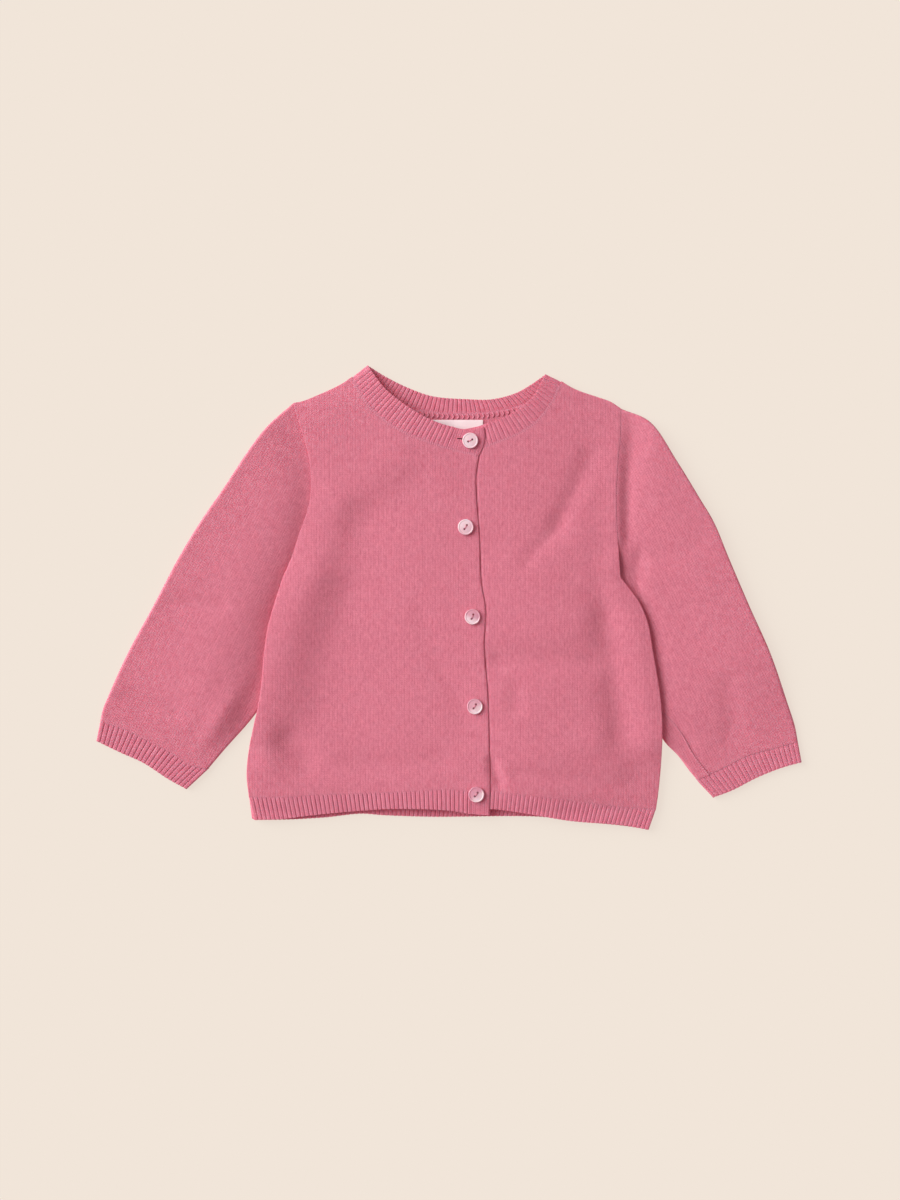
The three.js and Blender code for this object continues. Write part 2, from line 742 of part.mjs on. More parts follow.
const knitColour = 0xd87b8d;
const ribColour = 0xd3768a;
const buttonColour = 0xf0c8d0;
const labelColour = 0xf5d7da;

function material(color, roughness) {
  return new THREE.MeshStandardMaterial({ color, roughness, metalness: 0 });
}

const cardigan = new THREE.Group();

function add(name, geometry, color, roughness = 0.95) {
  const mesh = new THREE.Mesh(geometry, material(color, roughness));
  mesh.name = name;
  cardigan.add(mesh);
  return mesh;
}

add('back_panel', backPanel(), knitColour);
add('front_right', frontRight(), knitColour);
add('front_left', frontLeft(), knitColour);
const rightSleeve = sleeve(rightArmhole, rightSleeveOuter, rightSleeveInner, rightCuffSeam, -1);
const leftSleeve = sleeve(leftArmhole, leftSleeveOuter, leftSleeveInner, leftCuffSeam, 1);
add('sleeve_right', rightSleeve, knitColour);
add('sleeve_left', leftSleeve, knitColour);
add('back_hem', hem(backHemSeam, backHemEdge, () => 0, false), ribColour);
add('front_right_hem', hem(rightHemSeam, rightHemEdge, rightHemFloor, true), ribColour);
add('front_left_hem', hem(leftHemSeam, leftHemEdge, leftHemFloor, true), ribColour);
add('cuff_right', cuff(rightCuffSeam, rightCuffEdge), ribColour);
add('cuff_left', cuff(leftCuffSeam, leftCuffEdge), ribColour);
add('neckband', neckband(), ribColour);
add('neck_label', labelGeometry(), labelColour, 0.6);

buttons.forEach((row, i) => {
  const mesh = add(`button_${i + 1}`, buttonGeometry(), buttonColour, 0.25);
  mesh.position.set(row.x, row.y, buttonFloor(row) + buttonSeat);
  mesh.rotation.z = THREE.MathUtils.degToRad(row.turn);
});

export default cardigan;
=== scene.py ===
import functools
import math

import bpy
import numpy as np
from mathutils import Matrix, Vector


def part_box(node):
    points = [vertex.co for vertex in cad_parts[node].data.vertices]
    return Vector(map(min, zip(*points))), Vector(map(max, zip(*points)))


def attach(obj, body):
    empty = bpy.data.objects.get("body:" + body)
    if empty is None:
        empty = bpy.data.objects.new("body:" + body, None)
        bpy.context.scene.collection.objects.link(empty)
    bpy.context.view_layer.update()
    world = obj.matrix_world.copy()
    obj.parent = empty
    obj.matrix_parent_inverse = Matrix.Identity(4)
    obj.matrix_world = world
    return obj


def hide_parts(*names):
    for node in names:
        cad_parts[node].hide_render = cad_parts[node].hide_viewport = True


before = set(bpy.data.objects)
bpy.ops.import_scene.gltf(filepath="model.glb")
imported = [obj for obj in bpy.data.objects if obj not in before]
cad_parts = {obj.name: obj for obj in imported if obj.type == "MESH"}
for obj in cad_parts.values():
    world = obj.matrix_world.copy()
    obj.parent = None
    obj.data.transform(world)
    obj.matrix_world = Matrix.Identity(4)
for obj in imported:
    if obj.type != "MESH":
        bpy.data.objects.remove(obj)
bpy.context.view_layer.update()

# Back panel
# The lower layer: one piece of fine cotton stocking stitch, flat on the surface. Its sides
# rise over the inner folds of the sleeves, which lie under the body there.

MM = 0.001
CLOTH = 1.6
LAYER_GAP = 0.3
TUBE_HEIGHT = 2 * CLOTH + 0.1
SIDE_LIFT = TUBE_HEIGHT + 0.2
ROW_STEP = 2.0
RIM_ROUNDING, RIM_ANGLE = 0.45, 55

RIGHT_ARMHOLE = [
    (-103, 128), (-98.5, 113.5), (-93.5, 97), (-91, 82.5), (-91, 69.5), (-93, 57.5),
    (-98.5, 42), (-103.5, 26.5), (-109.5, 12.5), (-114, -1.5),
]
RIGHT_SIDE = [
    (-114, -1.5), (-119, -19), (-121.5, -35), (-124.5, -65.5), (-128.5, -84),
    (-132, -101), (-133.5, -117), (-132, -132.5),
]
LEFT_ARMHOLE = [
    (113.5, 124.5), (113, 106.5), (111.5, 89), (110.5, 70.5), (110.5, 54), (111.5, 37.5),
    (113, 13),
]
LEFT_SIDE = [
    (113, 13), (119, 5.5), (126, -4.5), (131.5, -18.5), (134.5, -36.5), (138.5, -60),
    (140.5, -81), (140, -109), (138, -130.5), (136.5, -141),
]
RIGHT_SHOULDER = [
    (-103, 128), (-96, 129.5), (-86, 133.5), (-76, 138), (-69.5, 141.5), (-64, 145.5),
]
LEFT_SHOULDER = [
    (113.5, 124.5), (106.5, 129), (99.5, 131.5), (86, 136), (80.5, 138.5), (74, 142.5),
]
BACK_NECK_SEAM = [
    (-64, 145.5), (-58, 140), (-46, 131.5), (-28, 125), (-7.5, 122), (16.5, 121.5),
    (39.5, 124.5), (58, 131), (69, 137.5), (74, 142.5),
]
BACK_HEM_SEAM = [
    (-132, -132.5), (-88, -132), (-32.5, -130.5), (14, -130.5), (60, -132.5),
    (99.5, -136.5), (136.5, -141),
]


def smooth_line(table):
    """Close-set points on the smooth curve through a table of (across, up) rows."""
    p = np.array(table, float)
    p = np.vstack([2 * p[0] - p[1], p, 2 * p[-1] - p[-2]])
    t = np.linspace(0, 1, 40, endpoint=False)[:, None]
    spans = []
    for a, b, c, d in zip(p, p[1:], p[2:], p[3:]):
        ab, bc, cd = (math.sqrt(math.dist(*pair)) for pair in ((a, b), (b, c), (c, d)))
        leaves = ((b - a) / ab - (c - a) / (ab + bc) + (c - b) / bc) * bc
        arrives = ((c - b) / bc - (d - b) / (bc + cd) + (d - c) / cd) * bc
        spans.append(
            b + leaves * t + (3 * (c - b) - 2 * leaves - arrives) * t**2
            + (2 * (b - c) + leaves + arrives) * t**3
        )
    return np.vstack([*spans, p[-2]])


def length_of(line):
    return np.concatenate([[0], np.cumsum(np.linalg.norm(np.diff(line, axis=0), axis=1))])


def along(table, shares):
    """Points at those shares of a table's smooth line."""
    line = smooth_line(table)
    far = length_of(line)
    return np.stack([np.interp(np.array(shares) * far[-1], far, line[:, k]) for k in (0, 1)], 1)


def run(table, step=ROW_STEP):
    """Points about one step apart along a table's smooth line."""
    return along(table, np.linspace(0, 1, max(2, round(length_of(smooth_line(table))[-1] / step)) + 1))


def joined(*lines):
    return np.vstack([lines[0], *(line[1:] for line in lines[1:])])


def refit(line, count):
    """The same line again with that many points, evenly spaced."""
    far = length_of(line)
    at = np.linspace(0, far[-1], count)
    return np.stack([np.interp(at, far, line[:, k]) for k in (0, 1)], 1)


def patch(bottom, top, left, right):
    """A grid of points in plan between four edges."""
    u = np.linspace(0, 1, len(bottom))[None, :, None]
    v = np.linspace(0, 1, len(left))[:, None, None]
    corners = (
        (1 - u) * (1 - v) * bottom[0] + u * (1 - v) * bottom[-1]
        + (1 - u) * v * top[0] + u * v * top[-1]
    )
    return (1 - v) * bottom + v * top + (1 - u) * left[:, None] + u * right[:, None] - corners


def soft_step(t):
    s = np.clip(t, 0, 1)
    return s * s * (3 - 2 * s)


def across_at(table, up):
    rows = sorted((row[1], row[0]) for row in table)
    return np.interp(up, [row[0] for row in rows], [row[1] for row in rows])


def side_distance(x, y):
    """How far a point lies inside the armhole and side seam, in mm, below nought outside."""
    right = -across_at(RIGHT_ARMHOLE + RIGHT_SIDE[1:], y)
    left = across_at(LEFT_ARMHOLE + LEFT_SIDE[1:], y)
    return np.where(x < 0, right, left) - np.abs(x)


def body_lift(x, y):
    """Where the body lies over the folded edge of each sleeve."""
    begins, full = 40, np.where(x < 0, -10, -3)
    ends, gone = np.where(x < 0, -82, -92), np.where(x < 0, -106, -116)
    window = soft_step((begins - y) / (begins - full)) * soft_step((y - gone) / (ends - gone))
    lower = soft_step(-y / 60)
    reach = np.where(x < 0, 50 - 6 * lower, 34)
    near = np.where(x < 0, 14 * (1 - lower), 6)
    return SIDE_LIFT * window * soft_step((reach - side_distance(x, y)) / (reach - near))


def beside(x, y, x0, y0, x1, y1):
    """Distance from a line, above nought on its left, and how far past its ends."""
    length = math.dist((x0, y0), (x1, y1))
    ax, ay = (x1 - x0) / length, (y1 - y0) / length
    t = (x - x0) * ax + (y - y0) * ay
    return (y - y0) * ax - (x - x0) * ay, np.maximum(np.maximum(-t, t - length), 0)


def fold_field(table, x, y):
    """Height in mm of a table of soft troughs (height below nought) and ridges."""
    height = np.zeros(np.shape(x))
    for *line, width, rise in table:
        off, past = beside(x, y, *line)
        height += rise * np.exp(-((off / width) ** 2) - (past / width) ** 2)
    return height


def step_field(table, x, y):
    """Height in mm of a table of soft steps, each lower on its line's left."""
    height = np.zeros(np.shape(x))
    for *line, width, reach, drop in table:
        off, past = beside(x, y, *line)
        height -= drop * np.tanh(off / width) * np.exp(-((off / reach) ** 2) - (past / width) ** 2)
    return height


def waver(x, y, reach):
    """Gentle unevenness between -1 and 1 with waves about reach mm long."""
    waves = ((1.0, 0.3, 0.4), (-0.5, 1.1, 2.1), (0.7, -0.9, 4.0), (1.6, 0.5, 5.2))
    return sum(np.sin((a * x + b * y) * 2 * math.pi / reach + c) for a, b, c in waves) / 4


def placed(name, data):
    """A new object at the origin with the data given."""
    made = bpy.data.objects.new(name, data)
    bpy.context.scene.collection.objects.link(made)
    return made


def mesh_object(name, points, edges=(), faces=()):
    """An object of points in mm and the edges or faces between them."""
    mesh = bpy.data.meshes.new(name)
    mesh.from_pydata((points * MM).tolist(), edges, faces)
    return placed(name, mesh)


def cells(row, column, after, wide):
    """The corners of a grid's cells, counted through rows that are so many points wide."""
    below, above = row * wide, (row + 1) * wide
    return np.stack([below + column, below + after, above + after, above + column], -1)


def grid_object(name, points, uv, around=False, flip=False):
    """A sheet of quads through a grid of points in mm, with its wales' own map in mm."""
    rows, columns = points.shape[:2]
    r, c = np.meshgrid(np.arange(rows - 1), np.arange(columns - (not around)), indexing="ij")
    quads = cells(r, c, (c + 1) % columns, columns)
    spots = cells(r, c, c + 1, uv.shape[1])
    if flip:
        quads, spots = quads[..., ::-1], spots[..., ::-1]
    made = mesh_object(name, points.reshape(-1, 3), faces=quads.reshape(-1, 4).tolist())
    layer = made.data.uv_layers.new(name="wales")
    layer.data.foreach_set("uv", uv.reshape(-1, 2)[spots.ravel()].astype(np.float32).ravel())
    return made


def settled(obj):
    """The object with its modifiers worked into a plain mesh."""
    graph = bpy.context.evaluated_depsgraph_get()
    worked = obj.evaluated_get(graph)
    mesh = bpy.data.meshes.new_from_object(worked, preserve_all_data_layers=True, depsgraph=graph)
    obj.modifiers.clear()
    obj.data = mesh
    mesh.shade_smooth()
    return obj


def thicken(obj, thickness, offset=0.0, rounding=RIM_ROUNDING):
    """Gives a sheet its thickness in mm and a rounded rim."""
    wall = obj.modifiers.new("cloth", "SOLIDIFY")
    wall.thickness = thickness * MM
    wall.offset = offset
    rim = obj.modifiers.new("rim", "BEVEL")
    rim.limit_method = "ANGLE"
    rim.angle_limit = math.radians(RIM_ANGLE)
    rim.width = rounding * MM
    rim.segments = 3
    return settled(obj)


def stands_for(obj, node, material):
    """Puts a finished piece in the place of its CAD node."""
    obj.data.materials.clear()
    obj.data.materials.append(material)
    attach(obj, "root")
    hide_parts(node)
    return obj


def linear(colour):
    """An sRGB hex colour as the linear values that a shader takes."""
    parts = [int(colour[i : i + 2], 16) / 255 for i in (1, 3, 5)]
    return [p / 12.92 if p <= 0.04045 else ((p + 0.055) / 1.055) ** 2.4 for p in parts] + [1]


def fill(node, sockets):
    """Links or sets a node's sockets. A node given as a value stands for its first output."""
    for key, value in sockets.items():
        if isinstance(value, bpy.types.Node):
            value = value.outputs[0]
        if isinstance(value, bpy.types.NodeSocket):
            node.id_data.links.new(value, node.inputs[key])
        else:
            node.inputs[key].default_value = value


def add_node(tree, kind, sockets=None, **settings):
    """Adds a node, sets it and fills its sockets."""
    made = tree.nodes.new(kind)
    for name, value in settings.items():
        setattr(made, name, value)
    fill(made, sockets or {})
    return made


def maths(tree, operation, *values, **settings):
    return add_node(tree, "ShaderNodeMath", dict(enumerate(values)), operation=operation, **settings)


def noise(tree, place, scale, detail=2.0, roughness=0.5, distortion=0.0):
    sockets = {"Vector": place, "Scale": scale, "Detail": detail, "Roughness": roughness}
    return add_node(tree, "ShaderNodeTexNoise", {**sockets, "Distortion": distortion}).outputs["Fac"]


def mixed(tree, share, first, second):
    """A colour between two hex colours."""
    sockets = {0: share, 6: linear(first), 7: linear(second)}
    return add_node(tree, "ShaderNodeMix", sockets, data_type="RGBA").outputs[2]


def bumped(tree, height, strength, depth):
    """The surface's direction under a bump of that depth in mm."""
    sockets = {"Strength": strength, "Distance": depth * MM, "Height": height}
    return add_node(tree, "ShaderNodeBump", sockets)


def new_material(name):
    """A material with its tree and its main shader."""
    made = bpy.data.materials.new(name)
    made.use_nodes = True
    return made, made.node_tree, made.node_tree.nodes["Principled BSDF"]


def knit_material(name, yarn, groove_shade_and_dark_fibre, wale, course, relief, stitches, speckle):
    """Cotton yarn knitted in columns of V stitches: matt, soft at the edges, a little uneven.

    wale and course are the width and height of a stitch in mm and relief its bump in mm.
    The second colour is painted shade in the grooves between stitches, and also the darker fibres.
    stitches and speckle say how strongly the painted shade between the columns and the fibres'
    unevenness show.
    """
    made, tree, surface = new_material(name)
    place = add_node(tree, "ShaderNodeTexCoord").outputs["Object"]

    def spread(*values):
        """A value taken from one range, low and high, to another."""
        return add_node(tree, "ShaderNodeMapRange", dict(enumerate(values)))

    wales = add_node(tree, "ShaderNodeUVMap", uv_map="wales")
    parts = add_node(tree, "ShaderNodeSeparateXYZ", {0: wales})
    uneven = noise(tree, place, 60.0, roughness=0.6)
    across = maths(tree, "DIVIDE", maths(tree, "MULTIPLY_ADD", uneven, 0.5, parts.outputs["X"]), wale)
    off_middle = maths(tree, "ABSOLUTE", maths(tree, "SUBTRACT", maths(tree, "FRACT", across), 0.5))
    leg = add_node(tree, "ShaderNodeFloatCurve", {"Value": off_middle})
    profile = leg.mapping.curves[0].points
    profile[0].location = (0.0, 0.55)
    profile[-1].location = (1.0, 0.0)
    for x, y in ((0.12, 0.86), (0.25, 1.0), (0.38, 0.8), (0.5, 0.0)):
        profile.new(x, y)
    leg.mapping.update()
    up = maths(tree, "DIVIDE", parts.outputs["Y"], course)
    turn = maths(tree, "MULTIPLY", maths(tree, "MULTIPLY_ADD", off_middle, -1.7, up), 2 * math.pi)
    swell = maths(tree, "MULTIPLY_ADD", maths(tree, "COSINE", turn), 0.22, 0.78)
    stitch = maths(tree, "MULTIPLY", leg, swell)
    clear = maths(tree, "MULTIPLY", spread(uneven, 0.35, 0.65, 0.15, 1.0), stitches)
    # Painted shade: the colour darkens where the stitch relief is low, in the grooves between the
    # columns
    painted_groove_shade = maths(tree, "MULTIPLY", maths(tree, "SUBTRACT", stitch, 0.6), clear)
    slowly = maths(tree, "MULTIPLY", up, 0.3)
    by_stitch = add_node(tree, "ShaderNodeCombineXYZ", {"X": across, "Y": slowly})
    ticks = spread(noise(tree, by_stitch, 1.0, 2.0, 0.7), 0.3, 0.7, -speckle, speckle)
    fibres = spread(noise(tree, place, 850.0, 4.0, 0.75), 0.3, 0.7, -speckle, speckle)
    clouds = spread(noise(tree, place, 140.0, 4.0, 0.7), 0.3, 0.7, -0.4 * speckle, 0.4 * speckle)
    tone = 0.6
    for part in (painted_groove_shade, fibres, ticks, clouds):
        tone = maths(tree, "ADD", tone, part)
    fill(surface, {
        "Base Color": mixed(tree, tone, groove_shade_and_dark_fibre, yarn),
        "Normal": bumped(tree, maths(tree, "ADD", stitch, fibres), 0.7, relief),
        "Roughness": 0.95, "Specular IOR Level": 0.12,
        "Sheen Weight": 0.25, "Sheen Roughness": 0.5, "Sheen Tint": linear("#f4c3cc"),
        "Subsurface Weight": 0.5, "Subsurface Radius": (1.0, 0.4, 0.45), "Subsurface Scale": 1.8 * MM,
    })
    return made


# Cotton stocking stitch, knitted by machine. A wale is 1.45 mm in the real cloth and drawn
# 1.7 mm wide, so that its lines show at the render's size.
# The second colour is painted shade in the grooves between stitches, and the darker fibres
knit = knit_material("cotton_stocking_stitch", "#e78b9d", "#cd6d81",
                     wale=1.7, course=1.4, relief=0.3, stitches=0.4, speckle=0.3)

right_edge = joined(run(RIGHT_ARMHOLE), run(RIGHT_SIDE))[::-1]
left_edge = refit(joined(run(LEFT_ARMHOLE), run(LEFT_SIDE))[::-1], len(right_edge))
back_top = joined(run(RIGHT_SHOULDER), run(BACK_NECK_SEAM), run(LEFT_SHOULDER)[::-1])
back_plan = patch(refit(run(BACK_HEM_SEAM), len(back_top)), back_top, right_edge, left_edge)


def above(floor, rise):
    """The height of a layer that lies so far over a floor, as a function of the place."""
    return lambda x, y: floor(x, y) + rise


def level(height):
    return lambda x, y: 0 * x + height


def raised(plan, height):
    """A grid in plan with its height, by the function given."""
    return np.dstack([plan, height(plan[..., 0], plan[..., 1])])


back = grid_object("back_knit", raised(back_plan, above(body_lift, CLOTH / 2)), back_plan)
thicken(back, CLOTH)
stands_for(back, "back_panel", knit)

# Fronts
# Two pieces of the same knit. The wearer's right one laps over the left by about 20 mm, and
# both lie loosely on the back, so they hold soft troughs and ridges.

FINE_STEP = 1.1
# How high the fronts stand, then how far in from their sides, top and hem they come down to it
FULLNESS = 3.0
RIGHT_ROLL, LEFT_ROLL, TOP_ROLL, HEM_ROLL = 12, 22, 12, 9
HEM_SHARE, HEM_LINE = 0.6, -141
# The lap of the two fronts: its depth, middle and reach, and its height at the lower end
PLACKET_DIP, PLACKET_MIDDLE, PLACKET_REACH = 1.2, 5, 34
PLACKET_LIFT, LIFT_BEGINS, LIFT_REACH = 2.5, -70, 72
# The upper edge curls down, and the lower front rises under it and just beside it
EDGE_CURL, CURL_REACH = 0.25, 1.5
UNDER_EDGE, UNDER_REACH, BESIDE_EDGE, BESIDE_REACH, EDGE_FADE = 0.8, 8, 1.05, 1.3, 60
# How far each side has risen at its seam: a base, a gain and the distance that it comes in over
RIGHT_EASE, LEFT_EASE = (9, 6, -40), (3, 20, 30)
UNEVENNESS, BODY_WAVE, SOFT_FLOOR = 0.15, 70, 0.1
RIGHT_NECK_SEAM = [
    (-64, 145.5), (-61.5, 139.5), (-56, 130), (-46.5, 119.5), (-33, 110), (-15, 102.5),
    (1, 97.5), (19.5, 93),
]
LEFT_NECK_SEAM = [
    (74, 142.5), (72.5, 138), (69, 130.5), (63.5, 122), (56, 114), (46.5, 108), (36, 103.5),
    (25, 99.5), (4.5, 96.5),
]
RIGHT_FRONT_EDGE = [
    (27, -130.5), (26.5, -103.5), (25.5, -65.5), (23, -32.5), (24, -8.5), (21, 10.5),
    (20, 37), (18.5, 58), (17.5, 78.5), (19.5, 93),
]
EDGE_OVER_BAND = [(24.5, 104), (23, 112)]
LEFT_FRONT_EDGE = [(4.5, -127.5), (4.5, -16), (4.5, 96.5)]
RIGHT_HEM_SEAM = [
    (-132, -132.5), (-107.5, -132.5), (-88, -131), (-57, -130), (-24.5, -128.5),
    (3, -127.5), (27, -130.5),
]
LEFT_HEM_SEAM = [
    (136.5, -141), (105, -138), (80, -134.5), (46, -130.5), (27.5, -128.5), (4.5, -127.5),
]
ROOF_LINE = [
    (-103, 128), (-64, 145.5), (-54, 153), (0, 190), (64, 147), (74, 142.5), (113.5, 124.5),
]
# Each fold: from across, from up, to across, to up, half width, height, all in mm
FRONT_FOLDS = [
    (-106, -94, -94, -108, 10, -2.2),
    (-120, -96, -120, -108, 10, 1.6),
    (60, -15, 66, -95, 50, 2.6),
    (-19, -15, 10.5, -81, 7, -0.5),
    (-78, -112, -5, -109, 7, -0.9),
    (93, 92, 72, 47.5, 7, -1.4),
    (72, 47.5, 52, 24, 6, -0.9),
    (34, -41, 92, -43, 9, -1.8),
    (100, 10, 104, -12, 7, -0.8),
    (104, -12, 113, -80, 8, -0.6),
    (43.5, -62, 43.5, -74, 6, -0.8),
    (28, -109, 33, -122, 4, -2.0),
    (45, -116, 125, -124, 5, -0.9),
    (112, 104, 111, 22, 8, 1.3),
]
# Each step: the same line, its left the lower side, then half width, reach and drop
FRONT_STEPS = [
    (-26, 84, -66, 57, 9, 26, 1.0),
    (-66, 57, -82, 8, 10, 36, 1.2),
    (-82, 8, -102, -66, 15, 40, 1.0),
    (92, 30, 97, -16, 9, 34, 0.9),
    (97, -16, 108, -90, 10, 30, 1.4),
    (108, -90, 118, -112, 9, 30, 1.2),
]


def eased(y, base, gain, reach):
    return base + gain * soft_step(y / reach)


def loft(x, y):
    """How high the fronts lie over the back, in mm."""
    at_seam = np.where(x < 0, eased(y, *RIGHT_EASE), eased(y, *LEFT_EASE))
    past_seam = np.maximum(side_distance(x, y), 0) + at_seam
    side = 1 - np.exp(-past_seam / np.where(x < 0, RIGHT_ROLL, LEFT_ROLL))
    peak = np.interp(x, [row[0] for row in ROOF_LINE], [row[1] for row in ROOF_LINE])
    roof = 1 - np.exp(-np.maximum(peak - y, 0) / TOP_ROLL)
    hem = 1 - HEM_SHARE * np.exp(-np.maximum(y - HEM_LINE, 0) / HEM_ROLL)
    dip = PLACKET_DIP * np.exp(-(((x - PLACKET_MIDDLE) / PLACKET_REACH) ** 2))
    folds = fold_field(FRONT_FOLDS, x, y) + step_field(FRONT_STEPS, x, y)
    height = (FULLNESS - dip + folds + UNEVENNESS * waver(x, y, BODY_WAVE)) * side * roof * hem
    return (height + np.sqrt(height**2 + SOFT_FLOOR)) / 2


def past_edge(x, y):
    """How far a point lies to the left of the upper front's edge, in mm."""
    return x - across_at(RIGHT_FRONT_EDGE + EDGE_OVER_BAND, y)


def between_fronts(x, y):
    return CLOTH + LAYER_GAP + body_lift(x, y) + loft(x, y)


def left_front_floor(x, y):
    beyond = past_edge(x, y)
    under = UNDER_EDGE * soft_step(beyond / UNDER_REACH + 1)
    beside_it = BESIDE_EDGE * soft_step((beyond + 0.2) / BESIDE_REACH)
    return between_fronts(x, y) + (under + beside_it) * np.exp(-((beyond / EDGE_FADE) ** 2))


def right_front_floor(x, y):
    curl = EDGE_CURL * soft_step(past_edge(x, y) / CURL_REACH + 1)
    return between_fronts(x, y) + PLACKET_LIFT * soft_step((x - LIFT_BEGINS) / LIFT_REACH) - curl


def front(name, node, seams, floor, flip):
    hem, shoulder, neck, edge, side = seams
    top = joined(run(shoulder, FINE_STEP), run(neck, FINE_STEP))
    plan = patch(refit(run(hem), len(top)), top, side, refit(run(edge), len(side)))
    made = grid_object(name, raised(plan, above(floor, CLOTH / 2)), plan, flip=flip)
    thicken(made, CLOTH)
    stands_for(made, node, knit)
    return made


front("front_right_knit", "front_right",
      (RIGHT_HEM_SEAM, RIGHT_SHOULDER, RIGHT_NECK_SEAM, RIGHT_FRONT_EDGE, right_edge),
      right_front_floor, flip=False)
front("front_left_knit", "front_left",
      (LEFT_HEM_SEAM, LEFT_SHOULDER, LEFT_NECK_SEAM, LEFT_FRONT_EDGE, left_edge),
      left_front_floor, flip=True)


def line_object(name, lines):
    """Threads' paths as one mesh of edges, from lists of points in mm."""
    points = np.vstack(lines)
    ends = np.cumsum([len(line) for line in lines])
    edges = [(i, i + 1) for i in range(len(points) - 1) if i + 1 not in ends]
    return mesh_object(name, points, edges=edges)


def new_tree(name, labels):
    """A Geometry Nodes tree that takes a geometry, the named values and a material."""
    tree = bpy.data.node_groups.new(name, "GeometryNodeTree")
    inputs = {"Geometry": "Geometry", **dict.fromkeys(labels, "Float"), "Material": "Material"}
    for label, kind in inputs.items():
        tree.interface.new_socket(name=label, in_out="INPUT", socket_type=f"NodeSocket{kind}")
    tree.interface.new_socket(name="Geometry", in_out="OUTPUT", socket_type="NodeSocketGeometry")
    return tree, add_node(tree, "NodeGroupInput").outputs


def finish_tree(tree, given, geometry):
    """Makes the tree's geometry real, paints it and hands it out."""
    real = add_node(tree, "GeometryNodeRealizeInstances", {0: geometry})
    painted = add_node(tree, "GeometryNodeSetMaterial", {0: real, "Material": given["Material"]})
    add_node(tree, "NodeGroupOutput", {0: painted})
    return tree


def scaled(tree, vector, scale):
    return add_node(tree, "ShaderNodeVectorMath", {0: vector, "Scale": scale}, operation="SCALE")


def use_tree(obj, tree, values):
    """Puts a tree on an object, its inputs set by their sockets' identifiers."""
    modifier = obj.modifiers.new(tree.name, "NODES")
    modifier.node_group = tree
    for item in tree.interface.items_tree:
        if item.in_out == "INPUT" and item.name in values:
            modifier[item.identifier] = values[item.name]
    return modifier


def linking_tree():
    """A row of V stitches along a path, as a linking machine makes them."""
    tree, given = new_tree("linking_row", ["Pitch", "Length", "Width", "Thickness", "Spread", "Tilt"])
    path = add_node(tree, "GeometryNodeMeshToCurve", {"Mesh": given["Geometry"]})
    even = add_node(tree, "GeometryNodeResampleCurve",
                    {"Curve": path, "Length": given["Pitch"]}, mode="LENGTH")
    tangent = add_node(tree, "GeometryNodeInputTangent")
    sideways = add_node(tree, "ShaderNodeVectorMath",
                        {0: tangent, 1: (0, 0, 1)}, operation="CROSS_PRODUCT")
    turned = add_node(tree, "FunctionNodeAlignRotationToVector",
                      {"Vector": tangent}, axis="X", pivot_axis="Z")
    size = add_node(tree, "ShaderNodeCombineXYZ",
                    {"X": given["Length"], "Y": given["Width"], "Z": given["Thickness"]})
    bead = add_node(tree, "GeometryNodeMeshUVSphere", {"Segments": 8, "Rings": 5, "Radius": 0.5})
    yarn = add_node(tree, "GeometryNodeTransform", {"Geometry": bead, "Scale": size})
    both = add_node(tree, "GeometryNodeJoinGeometry")
    for side in (-1, 1):
        shift = scaled(tree, sideways, maths(tree, "MULTIPLY", given["Spread"], side))
        moved = add_node(tree, "GeometryNodeSetPosition", {"Geometry": even, "Offset": shift})
        lean = maths(tree, "MULTIPLY", given["Tilt"], side)
        about_up = add_node(tree, "FunctionNodeAxisAngleToRotation", {"Axis": (0, 0, 1), "Angle": lean})
        leaning = add_node(tree, "FunctionNodeRotateRotation",
                           {0: turned, 1: about_up}, rotation_space="LOCAL")
        legs = add_node(tree, "GeometryNodeInstanceOnPoints",
                        {"Points": moved, "Instance": yarn, "Rotation": leaning})
        fill(both, {0: legs})
    return finish_tree(tree, given, both)


def yarn_material(name, light, dark):
    """Bare cotton yarn: matt, twisted, with a little fuzz."""
    made, tree, surface = new_material(name)
    fibres = noise(tree, add_node(tree, "ShaderNodeTexCoord").outputs["Object"], 1400.0, 4.0)
    fill(surface, {
        "Base Color": mixed(tree, fibres, dark, light),
        "Normal": bumped(tree, fibres, 0.5, 0.1),
        "Roughness": 0.95, "Sheen Weight": 0.25,
    })
    return made


linking = linking_tree()
# The same cotton yarn as the knit, lying along the seams in single stitches
yarn = yarn_material("cotton_yarn", "#e48b9d", "#c96f84")


def sewn(name, lines, tree, values):
    """Yarn along lines of points in mm, made by a tree."""
    made = line_object(name, lines)
    use_tree(made, tree, {**values, "Material": yarn})
    settled(made)
    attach(made, "root")
    return made


def linked_row(name, lines, pitch, length, width, thickness, spread, tilt):
    """Stitches along lines of points in mm, all sizes in mm and the tilt in degrees."""
    return sewn(name, lines, linking, {
        "Pitch": pitch * MM, "Length": length * MM, "Width": width * MM, "Thickness": thickness * MM,
        "Spread": spread * MM, "Tilt": math.radians(tilt),
    })


def over(table, height, inset=(0, 0), step=ROW_STEP):
    """A seam's path moved by inset in plan and laid at the height given."""
    plan = run(table, step) + inset
    return np.column_stack([plan, height(*plan.T)])


# How deep the linking stitches sink in the knit
SUNK = 0.3
selvedge = over(RIGHT_FRONT_EDGE, above(right_front_floor, CLOTH - SUNK), (-0.55, 0))
linked_row("front_selvedge", [selvedge],
           pitch=1.5, length=1.2, width=0.5, thickness=0.5, spread=0.15, tilt=55)

# Side and shoulder seams
# The fronts and the back are linked together along their sides and shoulders with the same
# yarn. The stitches lie between the two layers and close the edge.

